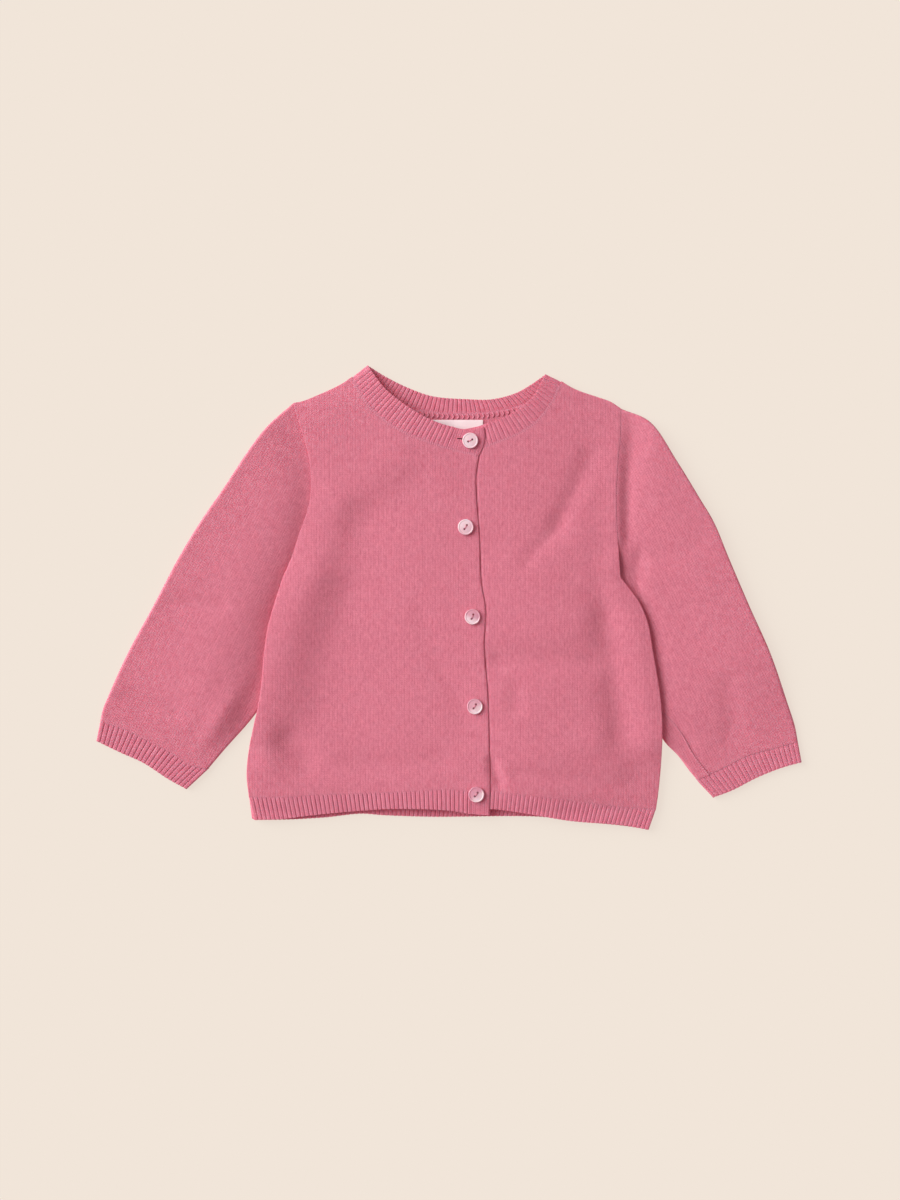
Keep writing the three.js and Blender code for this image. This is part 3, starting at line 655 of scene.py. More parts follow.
between_layers = CLOTH + LAYER_GAP / 2
edge_rows = [
    over(RIGHT_SIDE, above(body_lift, between_layers), (0.9, 0)),
    over(LEFT_SIDE, above(body_lift, between_layers), (-0.9, 0)),
    over(RIGHT_SHOULDER, level(between_layers), (0.4, -0.9)),
    over(LEFT_SHOULDER, level(between_layers), (-0.4, -0.9)),
]
linked_row("side_and_shoulder_linking", edge_rows,
           pitch=1.6, length=2.0, width=1.2, thickness=1.7, spread=0.1, tilt=18)

# Sleeves
# Each is one piece of the knit, closed by an underarm seam into a tube that lies flat with a
# fold along each edge. Its wales run along the arm.

# How far each stands up in mm, the share of that at its outer fold and the share of its width
# over which it rises, how far from the body it comes down and how much it slopes on the way
RIGHT_SLEEVE_RISE = (5.6, 0.4, 0.75, 36, 0.0)
LEFT_SLEEVE_RISE = (5.0, 0.85, 0.3, 13, 4.4)
RIGHT_SLEEVE_OUTER = [
    (-103, 128), (-120, 113), (-132.5, 97), (-148, 73.5), (-164.5, 49.5), (-179, 25.5),
    (-195.5, -6), (-212.5, -37.5), (-223.5, -61.5), (-229, -75), (-230.5, -82),
]
RIGHT_SLEEVE_INNER = [
    (-112, 0), (-114, -16.5), (-112.5, -33), (-113.5, -48), (-119.5, -64.5),
    (-130, -80), (-148.5, -101), (-159.5, -114),
]
LEFT_SLEEVE_OUTER = [
    (113.5, 124.5), (132.5, 116), (150.5, 90), (165.5, 65.5), (175, 49.5), (185, 25.5),
    (198.5, -6), (212.5, -37.5), (223.5, -69.5), (228.5, -85), (230.5, -95.5),
]
LEFT_SLEEVE_INNER = [
    (111, 15), (114.5, 3), (120, -7), (123.5, -17.5), (125.5, -35), (129.5, -61.5),
    (141, -93.5), (151.5, -105), (159, -115), (164, -121),
]
RIGHT_CUFF_SEAM = [
    (-230.5, -82), (-213, -88), (-198, -95.5), (-183, -103.5), (-171, -111), (-159.5, -114),
]
LEFT_CUFF_SEAM = [(230.5, -95.5), (213, -100.5), (197, -105), (180, -113.5), (164, -121)]
SLEEVE_FOLDS = [
    (-189, -3, -150, -5, 5, -0.8),
    (-214, -66, -182, -77, 6, -0.9),
    (-150, -55, -165, -90, 7, -0.5),
    (116.5, 84, 116, 40, 4, -1.6),
    (126, 28, 122, 6, 5, -1.2),
    (129.5, 24.5, 165.5, 34.5, 7, -0.4),
    (184, -60, 189, -92, 8, -1.0),
    (150, -88, 158, -96, 6, -0.6),
]
SEAM_LAP = 0.4
SLEEVE_STRIPS = 90
FOLD_TURN = 15
TUBE_COLUMNS = 70
# Where a sleeve joins the front's height and comes away from it again, in mm up the body
JOIN_BEGINS, JOIN_REACH, JOIN_FADE = 20, 20, 5
ARM_END, ARM_REACH, SHOULDER_REACH = -102, 45, 30
# How fast it rises from its folds and ends, in shares of its width and length
ROUNDNESS, INNER_RISE, WRIST_RISE, TOP_RISE, FOLD_RISE = 2.2, 5, 3.5, 6, 6
SLEEVE_WAVE = 60


def flat_tube(lines, top, radius, floor=0.0):
    """Rings round a flattened tube. Each line in plan goes from one fold to the other.

    top gives the height over a point, its share across and its share along; the folds are
    half rounds of the radius given, and the underside lies on the floor.
    """
    insets = radius * (1 - np.cos(np.radians(np.arange(0, 90, FOLD_TURN))))
    rings = []
    for station, line in enumerate(lines):
        far = length_of(line)
        width = far[-1]
        flat = np.linspace(radius, width - radius, TUBE_COLUMNS)
        at = np.concatenate([insets, flat, (width - insets)[::-1]])
        x, y = (np.interp(at, far, line[:, k]) for k in (0, 1))
        to_middle = (radius - np.minimum(at, width - at)).clip(0) / radius
        round_up = np.sqrt(np.maximum(1 - to_middle**2, 0))
        high = top(x, y, at / width, station / (len(lines) - 1))
        over = np.stack([x, y, floor + radius + (high - floor - radius) * round_up], 1)
        under = np.stack([x, y, floor + radius * (1 - round_up)], 1)
        rings.append(np.vstack([over, under[1:-1][::-1]]))
    return np.array(rings)


def sleeve_top(rise, x, y, share, station):
    """Height of a sleeve's upper side over a point and its shares across and along."""
    full, at_fold, outer, near_body, slope = rise
    upper = soft_step((y - JOIN_BEGINS) / JOIN_REACH)
    off_body = side_distance(x, y)
    near = np.maximum(near_body * soft_step((y - ARM_END) / ARM_REACH), SHOULDER_REACH * upper) + 2
    beside_body = np.clip(-off_body / near, 0, 1)
    seam_height = left_front_floor(x, y) + CLOTH - 0.2 - TUBE_HEIGHT
    from_seam = np.where(x > 0, seam_height * upper * np.exp(-((off_body / JOIN_FADE) ** 2)), 0)
    up = at_fold + (1 - at_fold) * soft_step(share / outer)
    up = up * (1 - (1 - beside_body) ** ROUNDNESS) * soft_step((1 - share) * INNER_RISE)
    ends = soft_step((1 - station) * WRIST_RISE) * soft_step(station * TOP_RISE + 0.3)
    folds = fold_field(SLEEVE_FOLDS, x, y) + UNEVENNESS * waver(x, y, SLEEVE_WAVE)
    inside = soft_step(share * FOLD_RISE) * soft_step((1 - share) * FOLD_RISE)
    inside = inside * soft_step(beside_body * 2)
    height = TUBE_HEIGHT + (full - slope * share) * up * ends + from_seam
    return np.maximum(height + folds * inside, TUBE_HEIGHT)


def ring_map(rings, turn):
    """A map in mm with v along the tube, turned by degrees from up, and u round it."""
    around = np.concatenate([rings, rings[:, :1]], 1)
    half = rings.shape[1] // 2
    angle = math.radians(turn)
    u = around[..., 0] * math.cos(angle) + around[..., 1] * math.sin(angle)
    v = -around[..., 0] * math.sin(angle) + around[..., 1] * math.cos(angle)
    u[:, half + 1:] = 2 * u[:, half:half + 1] - u[:, half + 1:]
    return np.stack([u, v], -1)


def sleeve(name, node, armhole, outer, inner, cuff_seam, rise, outward, turn, flip):
    start = refit(run(armhole), SLEEVE_STRIPS) - (outward * SEAM_LAP, 0)
    stations = len(run(outer))
    edges = (refit(run(edge), stations) for edge in (outer, inner))
    plan = patch(start, refit(run(cuff_seam), SLEEVE_STRIPS), *edges)
    rings = flat_tube(plan, functools.partial(sleeve_top, rise), TUBE_HEIGHT / 2)
    made = grid_object(name, rings, ring_map(rings, turn), around=True, flip=flip)
    thicken(made, CLOTH, offset=-1.0)
    # The armhole's corner folds the grid on itself, so nothing may sink below the surface there
    for corner in made.data.vertices:
        corner.co.z = max(corner.co.z, 0)
    stands_for(made, node, knit)
    return made


sleeve("sleeve_right_knit", "sleeve_right", RIGHT_ARMHOLE, RIGHT_SLEEVE_OUTER, RIGHT_SLEEVE_INNER,
       RIGHT_CUFF_SEAM, RIGHT_SLEEVE_RISE, outward=-1, turn=-29.7, flip=True)
sleeve("sleeve_left_knit", "sleeve_left", LEFT_ARMHOLE, LEFT_SLEEVE_OUTER, LEFT_SLEEVE_INNER,
       LEFT_CUFF_SEAM, LEFT_SLEEVE_RISE, outward=1, turn=26.4, flip=False)

# Armhole seams, and the one underarm seam that shows on the upper layer of a sleeve
UNDERARM_SEAM = [
    (137, -73), (143, -78), (148.5, -83.5), (155, -93), (161, -104), (167, -112), (171, -117),
]
armholes = [
    over(RIGHT_ARMHOLE[:8], above(right_front_floor, CLOTH - SUNK), (0.5, 0)),
    over(LEFT_ARMHOLE[:6], above(left_front_floor, CLOTH - SUNK), (-0.5, 0)),
]
linked_row("armhole_linking", [row[2:] for row in armholes],
           pitch=1.5, length=1.7, width=0.6, thickness=0.7, spread=0.25, tilt=20)
linked_row("underarm_linking", [over(UNDERARM_SEAM, level(TUBE_HEIGHT + 0.3))],
           pitch=1.5, length=1.8, width=0.7, thickness=1.2, spread=0.15, tilt=12)

# Hems
# One by one rib, knitted on to the lower edge of each piece. At the front edges the last
# 12.5 mm are plain, where the edge of the front runs down through the rib.

RIB_THICKNESS = 0.9
RIB_DEPTH = 0.55
RIB_LAYER = 1.8
RIB_PITCH = 2.9
RIB_COLUMNS = 10
RIB_TUCK = 1.5
RIB_FADE = 3.2
PLAIN_FADE = 1.5
SCALLOP = 0.3
HEM_PLAIN_END = 12.5
RIGHT_HEM_EDGE = [
    (-128.5, -147), (-112, -146.5), (-91.5, -144), (-61.5, -141), (-35, -139.5), (0, -140.5),
    (15, -143), (26.5, -144),
]
LEFT_HEM_EDGE = [
    (131.5, -153.5), (115.5, -150.5), (80, -147.5), (53.5, -143), (28.5, -139.5),
    (4.5, -139.5),
]
BACK_HEM_EDGE = [
    (-130, -146.5), (-114, -147), (-82.5, -145.5), (-58.5, -143), (-43, -144), (-12.5, -145),
    (60, -145), (84, -148), (115.5, -151), (131.5, -153.5),
]

# The same cotton in one by one rib: plump columns of knit with deep narrow grooves
# The second colour is painted shade in the grooves between the ribs, and the darker fibres
rib = knit_material("cotton_rib", "#e78b9d", "#bd6076",
                    wale=RIB_PITCH, course=1.5, relief=0.2, stitches=0.75, speckle=0.14)
# The rows of a strip of rib, as shares of its depth
rib_rows = np.linspace(0, 1, 11)[:, None, None]


def rib_tree():
    """Bends a sheet that carries its own length into ribs with narrow grooves between them."""
    tree, given = new_tree("one_by_one_rib", ["Pitch", "Depth"])
    length, side = (
        add_node(tree, "GeometryNodeInputNamedAttribute", {"Name": label}, data_type="FLOAT")
        for label in ("along_mm", "rib_side")
    )
    cell = maths(tree, "FRACT", maths(tree, "DIVIDE", length, given["Pitch"]))
    off_crown = maths(tree, "ABSOLUTE", maths(tree, "MULTIPLY_ADD", cell, 2.0, -1.0))
    crown = maths(tree, "SUBTRACT", 0.5, maths(tree, "POWER", off_crown, 4.0))
    signed = maths(tree, "MULTIPLY", maths(tree, "MULTIPLY", crown, given["Depth"]), side)
    shift = scaled(tree, add_node(tree, "GeometryNodeInputNormal"), signed)
    moved = add_node(tree, "GeometryNodeSetPosition", {"Geometry": given["Geometry"], "Offset": shift})
    return finish_tree(tree, given, moved)


ribs = rib_tree()


def scalloped(ends, outward, lengths, sides):
    """The free edge of a rib, which swells a little at each column."""
    crowns = 1 - np.abs(2 * (lengths / RIB_PITCH % 1) - 1) ** 2
    return ends + outward * (SCALLOP * crowns * np.abs(sides))[:, None]


def note(obj, label, values):
    """Gives each point of an object a value under the name given."""
    attribute = obj.data.attributes.new(label, "FLOAT", "POINT")
    attribute.data.foreach_set("value", values.astype(np.float32))


def rib_piece(name, node, points, lengths, sides, around=False, flip=False):
    """A ribbed strip: rows go across it, columns along it, and lengths give each column's place."""
    rows, columns = points.shape[:2]
    heights = np.linalg.norm(points[-1] - points[0], axis=1).mean() * np.linspace(0, 1, rows)
    uv = np.stack(np.broadcast_arrays(lengths[None, :], heights[:, None]), -1)
    made = grid_object(name, points, uv, around=around, flip=flip)
    note(made, "along_mm", np.tile(lengths[:columns], rows))
    note(made, "rib_side", sides.ravel())
    use_tree(made, ribs, {"Pitch": RIB_PITCH, "Depth": RIB_DEPTH * MM, "Material": rib})
    thicken(made, RIB_THICKNESS, rounding=0.25)
    return stands_for(made, node, rib)


def plain_at_end(distance, plain_end):
    return np.clip((distance - plain_end) / PLAIN_FADE, 0, 1)


def hem(name, node, seam, edge, floor, flip, flat, plain_last):
    length = length_of(smooth_line(seam))[-1]
    count = round(length / RIB_PITCH)
    shares = np.linspace(0, 1, count * RIB_COLUMNS + 1)
    lengths = shares * count * RIB_PITCH
    across_sides = plain_at_end((1 - shares) * length, HEM_PLAIN_END if plain_last else -9)
    tops = along(seam, shares) + (0, RIB_TUCK)
    ends = scalloped(along(edge, shares), np.array([0, -1]), lengths, across_sides)
    plan = ends[None] * (1 - rib_rows) + tops[None] * rib_rows
    points = raised(plan, above(floor, RIB_LAYER / 2))
    from_top = (1 - rib_rows[..., 0]) * np.linalg.norm(tops - ends, axis=1)
    sides = across_sides * soft_step(from_top / RIB_FADE)
    made = rib_piece(name, node, points, lengths, sides, flip=flip)
    return made


OVER_HEM = 0.2
hem("back_hem_rib", "back_hem", BACK_HEM_SEAM, BACK_HEM_EDGE,
    level(0), flip=False, flat=(0.2695, 0.016), plain_last=False)
hem("front_right_hem_rib", "front_right_hem", RIGHT_HEM_SEAM, RIGHT_HEM_EDGE,
    above(right_front_floor, OVER_HEM), flip=False, flat=(0.16, 0.0145), plain_last=True)
hem("front_left_hem_rib", "front_left_hem", LEFT_HEM_SEAM, LEFT_HEM_EDGE,
    above(left_front_floor, OVER_HEM), flip=True, flat=(0.133, 0.0135), plain_last=True)

# Cuffs
# The same rib, knitted on round the end of each sleeve and flattened with it.

RIGHT_CUFF_EDGE = [
    (-232.5, -95), (-217, -102.5), (-201.5, -109.5), (-185.5, -120), (-173.5, -126.5),
]
LEFT_CUFF_EDGE = [(232.5, -109), (218.5, -113), (202.5, -119.5), (187, -127.5), (175, -132)]
CUFF_LOWER = 0.9
CUFF_UPPER = 2.6
CUFF_POINTS = 60


def cuff(name, node, seam, edge, flip):
    tops, ends = (refit(run(table), CUFF_POINTS) for table in (seam, edge))
    fall = (ends - tops)[CUFF_POINTS // 2]
    fall = fall / np.linalg.norm(fall)
    tops = tops - fall * RIB_TUCK
    lines = tops[None] * (1 - rib_rows) + ends[None] * rib_rows
    rings = flat_tube(lines, lambda x, y, *shares: level(CUFF_UPPER)(x, y),
                      (CUFF_UPPER - CUFF_LOWER) / 2, floor=CUFF_LOWER)
    around = length_of(np.vstack([rings[-1], rings[-1][:1]])[:, :2])[-1]
    count = round(around / RIB_PITCH)
    columns = count * RIB_COLUMNS
    fine = []
    for ring in rings:
        closed = np.vstack([ring, ring[:1]])
        far = length_of(closed)
        at = np.linspace(0, far[-1], columns, endpoint=False)
        fine.append(np.stack([np.interp(at, far, closed[:, k]) for k in range(3)], 1))
    fine = np.array(fine)
    lengths = np.linspace(0, count * RIB_PITCH, columns + 1)
    fine[-1, :, :2] = scalloped(fine[-1, :, :2], fall, lengths[:-1], np.ones(columns))
    from_top = rib_rows[:, :, 0] * np.linalg.norm((ends - tops)[CUFF_POINTS // 2])
    sides = np.repeat(soft_step(from_top / RIB_FADE), columns, axis=1)
    made = rib_piece(name, node, fine, lengths, sides, around=True, flip=flip)
    return made


cuff("cuff_right_rib", "cuff_right", RIGHT_CUFF_SEAM, RIGHT_CUFF_EDGE, True)
cuff("cuff_left_rib", "cuff_left", LEFT_CUFF_SEAM, LEFT_CUFF_EDGE, False)

# Neckband
# One strip of the rib, linked to the neck and folded over at the two neck points. Its back
# part lies with its inside up, and both ends lap with the fronts.

BACK_NECK_EDGE = [
    (-54, 153), (-43, 146), (-27, 138), (-11, 132.5), (12.5, 130.5), (28.5, 130.5),
    (44, 134.5), (54, 140), (64, 147),
]
RIGHT_NECK_EDGE = [
    (-54, 153), (-48, 144.5), (-42, 137), (-33, 129.5), (-22, 122), (-8, 115), (7, 111),
    (14.5, 110.5), (23, 112),
]
LEFT_NECK_EDGE = [
    (64, 147), (60.5, 141), (56, 132.5), (44, 122.5), (35, 117.5), (23, 113.5), (4.5, 109.5),
]
BAND_PLAIN_END = 20.0
BAND_END_BOW, BAND_BOW_REACH = 2.0, 9
BAND_RIB_BEGINS, BAND_RIB_FADE = 1.2, 1.6
BAND_LIFT = RIB_LAYER + LAYER_GAP
FOLD_RADIUS = BAND_LIFT / 2


def band_stretch(edge, seam, first, last, height, up):
    """Stations of one stretch: points of its two edges, its lengths and where its ribs rise."""
    length = length_of(smooth_line(seam))[-1]
    inset = (FOLD_RADIUS + RIB_LAYER / 2) / length
    shares = np.linspace(inset * first, 1 - inset * last, round(length / RIB_PITCH) * RIB_COLUMNS)
    edges, seams = along(edge, shares), along(seam, shares)
    toward = edges - seams
    seams = seams - toward / np.linalg.norm(toward, axis=1)[:, None] * SEAM_LAP
    middle = RIB_LAYER / 2
    edges = np.column_stack([edges, height(*edges.T) + middle])
    seams = np.column_stack([seams, height(*seams.T) + middle])
    sides = plain_at_end((1 - shares) * length, BAND_PLAIN_END) if up else np.full(len(shares), -1.0)
    return [edges, seams, sides]


def band_turn(front_end, back_end):
    """The half turn at a neck point, from the front stretch's end down to the back's."""
    edge, seam = ((front_end[k] + back_end[k]) / 2 for k in (0, 1))
    line = (edge - seam)[:2] / np.linalg.norm((edge - seam)[:2])
    outward = np.array([-line[1], line[0], 0.0])
    outward *= 1 if outward[0] * edge[0] > 0 else -1
    turns = np.radians(np.arange(FOLD_TURN, 180, FOLD_TURN))
    up, out = np.cos(turns)[:, None], np.sin(turns)[:, None]
    around = FOLD_RADIUS * (up * (0, 0, 1) + out * outward)
    return [edge + around, seam + around, np.cos(turns)]


over_back = BAND_LIFT - CLOTH - LAYER_GAP
right_floor, left_floor = (above(floor, over_back) for floor in (right_front_floor, left_front_floor))
right_part = band_stretch(RIGHT_NECK_EDGE, RIGHT_NECK_SEAM, 1, 0, right_floor, True)
left_part = band_stretch(LEFT_NECK_EDGE, LEFT_NECK_SEAM, 1, 0, left_floor, True)
back_part = band_stretch(BACK_NECK_EDGE, BACK_NECK_SEAM, 1, 1, level(0), False)
right_part = [values[::-1] for values in right_part]
right_turn = band_turn([v[-1] for v in right_part], [v[0] for v in back_part])
left_turn = [v[::-1] for v in band_turn([v[0] for v in left_part], [v[-1] for v in back_part])]
stretches = [right_part, right_turn, back_part, left_turn, left_part]
band_edge, band_seam, band_side = (np.concatenate([s[k] for s in stretches]) for k in range(3))
band_lengths = length_of((band_edge + band_seam) / 2)
band_lengths *= round(band_lengths[-1] / RIB_PITCH) * RIB_PITCH / band_lengths[-1]
band_out = band_edge - band_seam
band_out /= np.linalg.norm(band_out, axis=1)[:, None]
band_edge = scalloped(band_edge, band_out, band_lengths, band_side)
band_points = band_seam[None] * (1 - rib_rows) + band_edge[None] * rib_rows
near_end = np.maximum(1 - band_lengths / BAND_BOW_REACH, 0) ** 2
band_points[..., 0] += BAND_END_BOW * near_end * np.sin(math.pi * rib_rows[..., 0])
from_seam = rib_rows[..., 0] * np.linalg.norm(band_edge - band_seam, axis=1)
band_rise = band_side * soft_step((from_seam - BAND_RIB_BEGINS) / BAND_RIB_FADE)
neckband = rib_piece("neckband_rib", "neckband", band_points, band_lengths, band_rise, flip=True)


def cut_away(obj, cutter):
    """Takes the cutter's shape out of an object and removes the cutter."""
    cut = obj.modifiers.new("cut", "BOOLEAN")
    cut.operation = "DIFFERENCE"
    cut.solver = "EXACT"
    cut.object = cutter
    settled(obj)
    bpy.data.objects.remove(cutter)


# The buttonhole that shows beside the top button is cut through the plain end of the band
HOLE_START, HOLE_END, HOLE_HALF_WIDTH = (5.9, 104.4), (13.5, 103.6), 0.42
SLIT_DEPTH = 3
half_round = np.linspace(-math.pi / 2, math.pi / 2, 9)
round_end = HOLE_HALF_WIDTH * np.column_stack([np.cos(half_round), np.sin(half_round)])
outline = np.vstack([HOLE_END + round_end, HOLE_START - round_end])
corners = np.arange(len(outline))
slit_low = right_floor(*np.array(HOLE_START)) - SUNK
slit_points = np.vstack([np.insert(outline, 2, slit_low + rise, axis=1) for rise in (0, SLIT_DEPTH)])
slit_sides = cells(0, corners, np.roll(corners, -1), len(outline)).tolist()
slit_ends = [corners[::-1].tolist(), (corners + len(outline)).tolist()]
cut_away(neckband, mesh_object("slit", slit_points, faces=slit_sides + slit_ends))

front_neck = [
    over(RIGHT_NECK_SEAM, above(right_front_floor, CLOTH - 0.2)),
    over(LEFT_NECK_SEAM[:-1], above(left_front_floor, CLOTH - 0.2)),
]
linked_row("front_neck_linking", [row[2:-1] for row in front_neck],
           pitch=1.45, length=1.8, width=1.1, thickness=0.6, spread=0.3, tilt=16)
back_neck = over(BACK_NECK_SEAM, level(CLOTH + 0.2), (0, -2.2))
linked_row("back_neck_linking", [back_neck[5:-5]],
           pitch=3.3, length=3.0, width=1.1, thickness=1.1, spread=0.7, tilt=58)

# Neck label
# A bare tape of pale polyester satin, sewn inside the back just below the neckband.

LABEL_LEFT, LABEL_RIGHT, LABEL_TOP = -11.5, 22.5, 117.0
LABEL_DROP, LABEL_THICKNESS = 16.0, 0.35
# How deep the tape sinks in the back, and how far its loose edge and its ripples stand up
LABEL_SINK, LABEL_BELLY, LABEL_RIPPLE = 0.2, 0.25, 0.1


def satin_material():
    """Woven polyester satin: fine threads across the tape and a soft shine along them."""
    made, tree, surface = new_material("polyester_satin_tape")
    place = add_node(tree, "ShaderNodeTexCoord").outputs["Object"]
    threads = add_node(tree, "ShaderNodeTexWave", {"Vector": place, "Scale": 900.0, "Distortion": 0.6},
                       wave_type="BANDS", bands_direction="Y")
    fill(surface, {
        # Both colours are lighter than the tape's own: painted light against the shade that the
        # neckband casts on it
        "Base Color": mixed(tree, noise(tree, place, 160.0, 3.0), "#fbdde1", "#ffecec"),
        "Normal": bumped(tree, threads.outputs["Fac"], 0.3, 0.05),
        "Roughness": 0.45, "Sheen Weight": 0.15,
    })
    return made


satin = satin_material()
label_across = np.linspace(LABEL_LEFT, LABEL_RIGHT, 41)
label_up = np.linspace(LABEL_TOP - LABEL_DROP, LABEL_TOP, 21)
label_plan = np.stack(np.meshgrid(label_across, label_up), -1)


def label_height(x, y):
    share = (x - LABEL_LEFT) / (LABEL_RIGHT - LABEL_LEFT)
    loose = (LABEL_TOP - y) / LABEL_DROP
    rest = CLOTH + LAYER_GAP + LABEL_THICKNESS / 2 - LABEL_SINK
    belly = LABEL_BELLY * loose * np.sin(math.pi * share) ** 2
    return rest + belly + LABEL_RIPPLE * np.sin(7 * share + 2 * loose) ** 2


label = grid_object("neck_label_tape", raised(label_plan, label_height), label_plan)
thicken(label, LABEL_THICKNESS, rounding=0.1)
stands_for(label, "neck_label", satin)

# Buttons
# Dished buttons of cast polyester with a pearly finish, 10.4 mm across, with two holes. They
# are sewn through the under front with the knit's own yarn.

BUTTON_RADIUS = 5.2
HOLE_RADIUS = 0.65
HOLE_SPACING = 2.9
# Distance from the axis and height of the turned outline, from the foot's middle to the dish's
BUTTON_OUTLINE = [
    (0, 0), (3.4, 0), (4.1, 0.1), (4.8, 0.45), (5.15, 0.9), (5.2, 1.3), (5.16, 1.6),
    (5.05, 1.82), (4.85, 1.95), (4.6, 1.98), (4.4, 1.93), (4.25, 1.8), (4.1, 1.75),
    (3.9, 1.78), (3.6, 1.82), (0, 1.82),
]
# Turn of the line through the holes, then the strength and heading of a painted pink reflection
BUTTON_TURNS = [
    (27, 0.15, 200), (58, 0.35, 120), (68, 0.85, 250), (60, 0.8, 300), (53, 0.95, 310),
]


def pearl_material():
    """Cast polyester with a pearly swirl: glossy, pale and slightly pink, one side pinker as a painted
    reflection.
    """
    made, tree, surface = new_material("pearly_polyester")
    place = add_node(tree, "ShaderNodeTexCoord").outputs["Object"]
    swirl = noise(tree, place, 420.0, 3.0, distortion=1.5)
    # Painted reflection: this attribute makes one side of each button pinker
    painted_reflection_share = add_node(tree, "ShaderNodeAttribute", attribute_name="pearl_with_painted_reflection").outputs["Fac"]
    cloudy = maths(tree, "MULTIPLY_ADD", swirl, 0.35, -0.17)
    share = maths(tree, "ADD", painted_reflection_share, cloudy, use_clamp=True)
    fill(surface, {
        "Base Color": mixed(tree, share, "#f4d2d8", "#d98a9e"),
        "Roughness": 0.35, "Coat Weight": 0.4, "Coat Roughness": 0.12,
        "Subsurface Weight": 0.1, "Subsurface Scale": 1.0 * MM,
    })
    return made


pearl_with_painted_reflection = pearl_material()


def turned_disc(outline, segments=72):
    """Vertices and faces of an outline turned about the upright axis, closed at both ends."""
    rings = outline[1:-1]
    angles = np.linspace(0, 2 * math.pi, segments, endpoint=False)
    points = [(r * math.cos(a), r * math.sin(a), z) for r, z in rings for a in angles]
    points += [(0, 0, outline[0][1]), (0, 0, outline[-1][1])]
    here = np.arange(segments)
    after = np.roll(here, -1)
    sides = cells(np.arange(len(rings) - 1)[:, None], here, after, segments)
    bottom, top, last = len(points) - 2, len(points) - 1, (len(rings) - 1) * segments
    caps = [
        face for a, b in zip(here.tolist(), after.tolist())
        for face in ([bottom, b, a], [top, last + a, last + b])
    ]
    return np.array(points, float), sides.reshape(-1, 4).tolist() + caps


HOLE_OUTLINE = [
    (0, -1), (HOLE_RADIUS, -1), (HOLE_RADIUS, 1.6), (HOLE_RADIUS + 0.15, 1.83),
    (HOLE_RADIUS + 0.15, 4), (0, 4),
]
# The yarn's arch from hole to hole: its share of the half length, and its height
ARCH = [
    (-1, -0.3), (-1, 1.4), (-0.85, 1.86), (-0.4, 1.98), (0, 2.0), (0.4, 1.98), (0.85, 1.86),
    (1, 1.4), (1, -0.3),
]
ARCH_HALF = HOLE_SPACING / 2 - 0.25
STRAND_OFFSET, YARN_RADIUS = 0.14, 0.15
SEAT_GAP = 0.1
# Where across each button the painted reflection ends, and how softly
REFLECTION_MIDDLE, REFLECTION_SLOPE = 0.7, 1.3
SHARP_ANGLE = 40


def heading(degrees):
    return np.array([math.cos(math.radians(degrees)), math.sin(math.radians(degrees)), 0])


thread_lines = []
for number, (turn, painted_reflection_depth, reflection_heading) in enumerate(BUTTON_TURNS, 1):
    low, high = (np.array(corner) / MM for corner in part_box(f"button_{number}"))
    x, y = (low + high)[:2] / 2
    centre = np.array([x, y, right_front_floor(x, y) + CLOTH + SEAT_GAP])
    line, across = heading(turn), heading(turn + 90)
    points, faces = turned_disc(BUTTON_OUTLINE)
    button = mesh_object(f"pearly_button_{number}", points + centre, faces=faces)
    for side in (-1, 1):
        points, faces = turned_disc(HOLE_OUTLINE, 28)
        drill = mesh_object("drill", points + centre + line * side * HOLE_SPACING / 2, faces=faces)
        cut_away(button, drill)
    spots = np.empty(len(button.data.vertices) * 3)
    button.data.vertices.foreach_get("co", spots)
    # Painted reflection: one side of the button, set by the heading given, is made pinker
    off = (spots.reshape(-1, 3) / MM - centre) @ heading(reflection_heading) / BUTTON_RADIUS
    note(button, "pearl_with_painted_reflection", painted_reflection_depth * soft_step(REFLECTION_MIDDLE - REFLECTION_SLOPE * off))
    button.data.set_sharp_from_angle(angle=math.radians(SHARP_ANGLE))
    stands_for(button, f"button_{number}", pearl_with_painted_reflection)
    for strand in (-STRAND_OFFSET, STRAND_OFFSET):
        start = centre + across * strand
        thread_lines.append(np.array([start + line * a * ARCH_HALF + (0, 0, b) for a, b in ARCH]))


def thread_tree():
    """Round yarn along paths."""
    tree, given = new_tree("sewing_yarn", ["Radius"])
    path = add_node(tree, "GeometryNodeMeshToCurve", {"Mesh": given["Geometry"]})
    spline = add_node(tree, "GeometryNodeCurveSplineType", {"Curve": path}, spline_type="CATMULL_ROM")
    smoothed = add_node(tree, "GeometryNodeResampleCurve", {"Curve": spline, "Count": 26}, mode="COUNT")
    ring = add_node(tree, "GeometryNodeCurvePrimitiveCircle",
                    {"Resolution": 8, "Radius": given["Radius"]})
    tube = add_node(tree, "GeometryNodeCurveToMesh",
                    {"Curve": smoothed, "Profile Curve": ring, "Fill Caps": True})
    return finish_tree(tree, given, tube)


sewn("button_yarn", thread_lines, thread_tree(), {"Radius": YARN_RADIUS * MM})

# The surface, light and camera
# A plain pale surface lit by a wide soft light from the upper left and a weak one all round.

PHOTO_MM_PER_PIXEL = 0.66
PHOTO_SIZE = (900, 1200)
CARDIGAN_MIDDLE = (449, 597)
FOCUS_HEIGHT_MM = 4.0
LENS = 85.0
SENSOR = 36.0

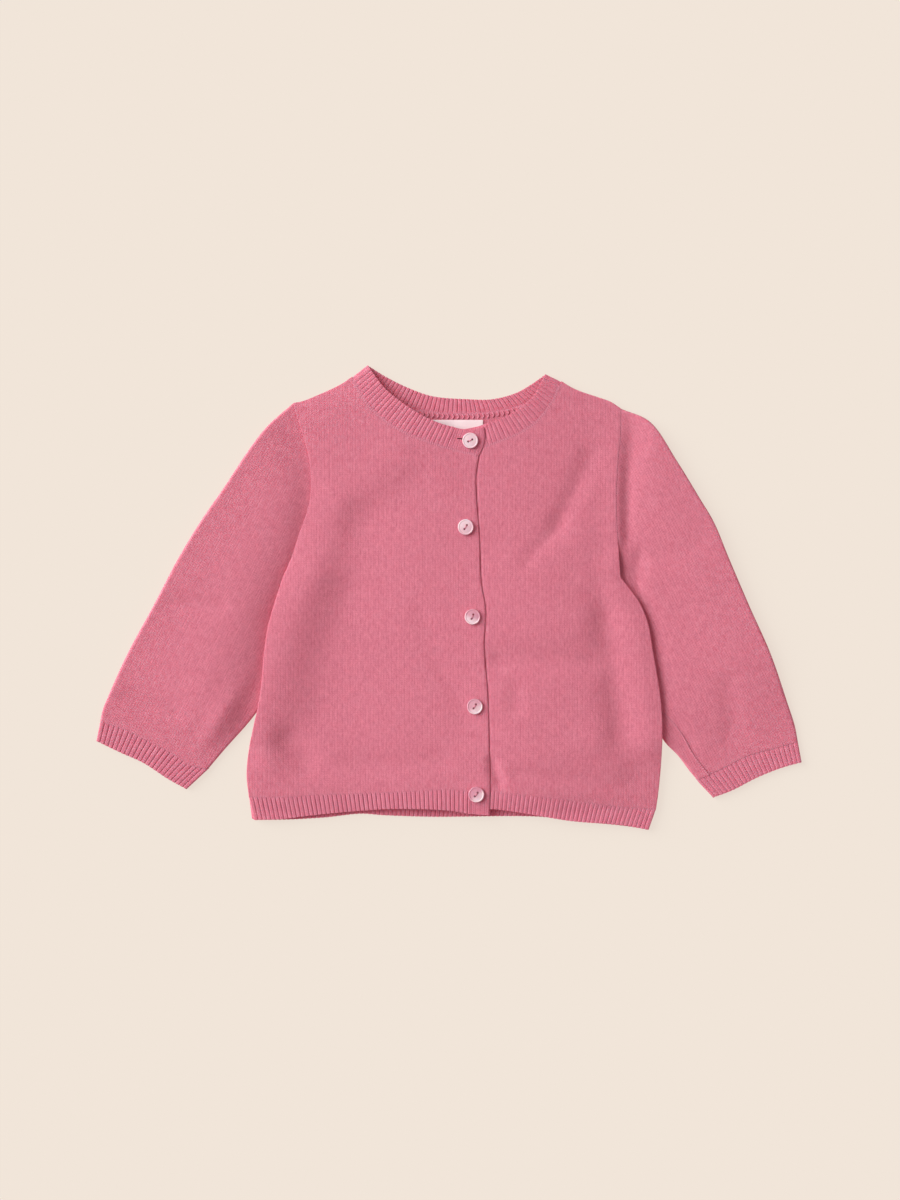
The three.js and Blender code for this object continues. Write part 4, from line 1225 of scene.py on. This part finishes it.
FLOOR_COLOUR = "#f1e5d9"
FLOOR_GLOW = 0.85
FLOOR_HALF, FLOOR_LEVEL = 3000, -0.3
SUN_HEIGHT = 30.0
SUN_TURN = 155.0
SUN_SPREAD = 50
# The room adds a little more red than the lamp, and both together are white
ROOM_LIGHT = (0.42, 0.34, 0.355)

# A pale board lit a little from within, so that shadows on it stay faint
board, _, board_surface = new_material("pale_board")
fill(board_surface, {
    "Base Color": [c * (1 - FLOOR_GLOW) for c in linear(FLOOR_COLOUR)[:3]] + [1],
    "Emission Color": linear(FLOOR_COLOUR), "Emission Strength": FLOOR_GLOW,
    "Roughness": 1.0, "Specular IOR Level": 0.0,
})
square = ((-1, -1), (1, -1), (1, 1), (-1, 1))
ground_points = np.array([(x * FLOOR_HALF, y * FLOOR_HALF, FLOOR_LEVEL) for x, y in square])
ground = mesh_object("ground", ground_points, faces=[(0, 1, 2, 3)])
ground.data.materials.append(board)

world = bpy.data.worlds.new("soft_room")
bpy.context.scene.world = world
world.use_nodes = True
world.node_tree.nodes["Background"].inputs["Color"].default_value = (*ROOM_LIGHT, 1)

sun = bpy.data.lights.new("softbox", "SUN")
sun.angle = math.radians(SUN_SPREAD)
sun.color = [1 - part for part in ROOM_LIGHT]
height = math.radians(SUN_HEIGHT)
sun.energy = math.pi / math.sin(height)
toward_sun = heading(SUN_TURN) * math.cos(height) + (0, 0, math.sin(height))
placed("softbox", sun).rotation_euler = (-Vector(toward_sun)).to_track_quat("-Z", "Y").to_euler()

camera_data = bpy.data.cameras.new("camera")
camera_data.lens = LENS
camera_data.sensor_width = SENSOR
camera = placed("camera", camera_data)
camera.location = (
    (PHOTO_SIZE[0] / 2 - CARDIGAN_MIDDLE[0]) * PHOTO_MM_PER_PIXEL * MM,
    (CARDIGAN_MIDDLE[1] - PHOTO_SIZE[1] / 2) * PHOTO_MM_PER_PIXEL * MM,
    (PHOTO_SIZE[1] * PHOTO_MM_PER_PIXEL * LENS / SENSOR + FOCUS_HEIGHT_MM) * MM,
)
bpy.context.scene.camera = camera
bpy.context.scene.view_settings.view_transform = "Standard"
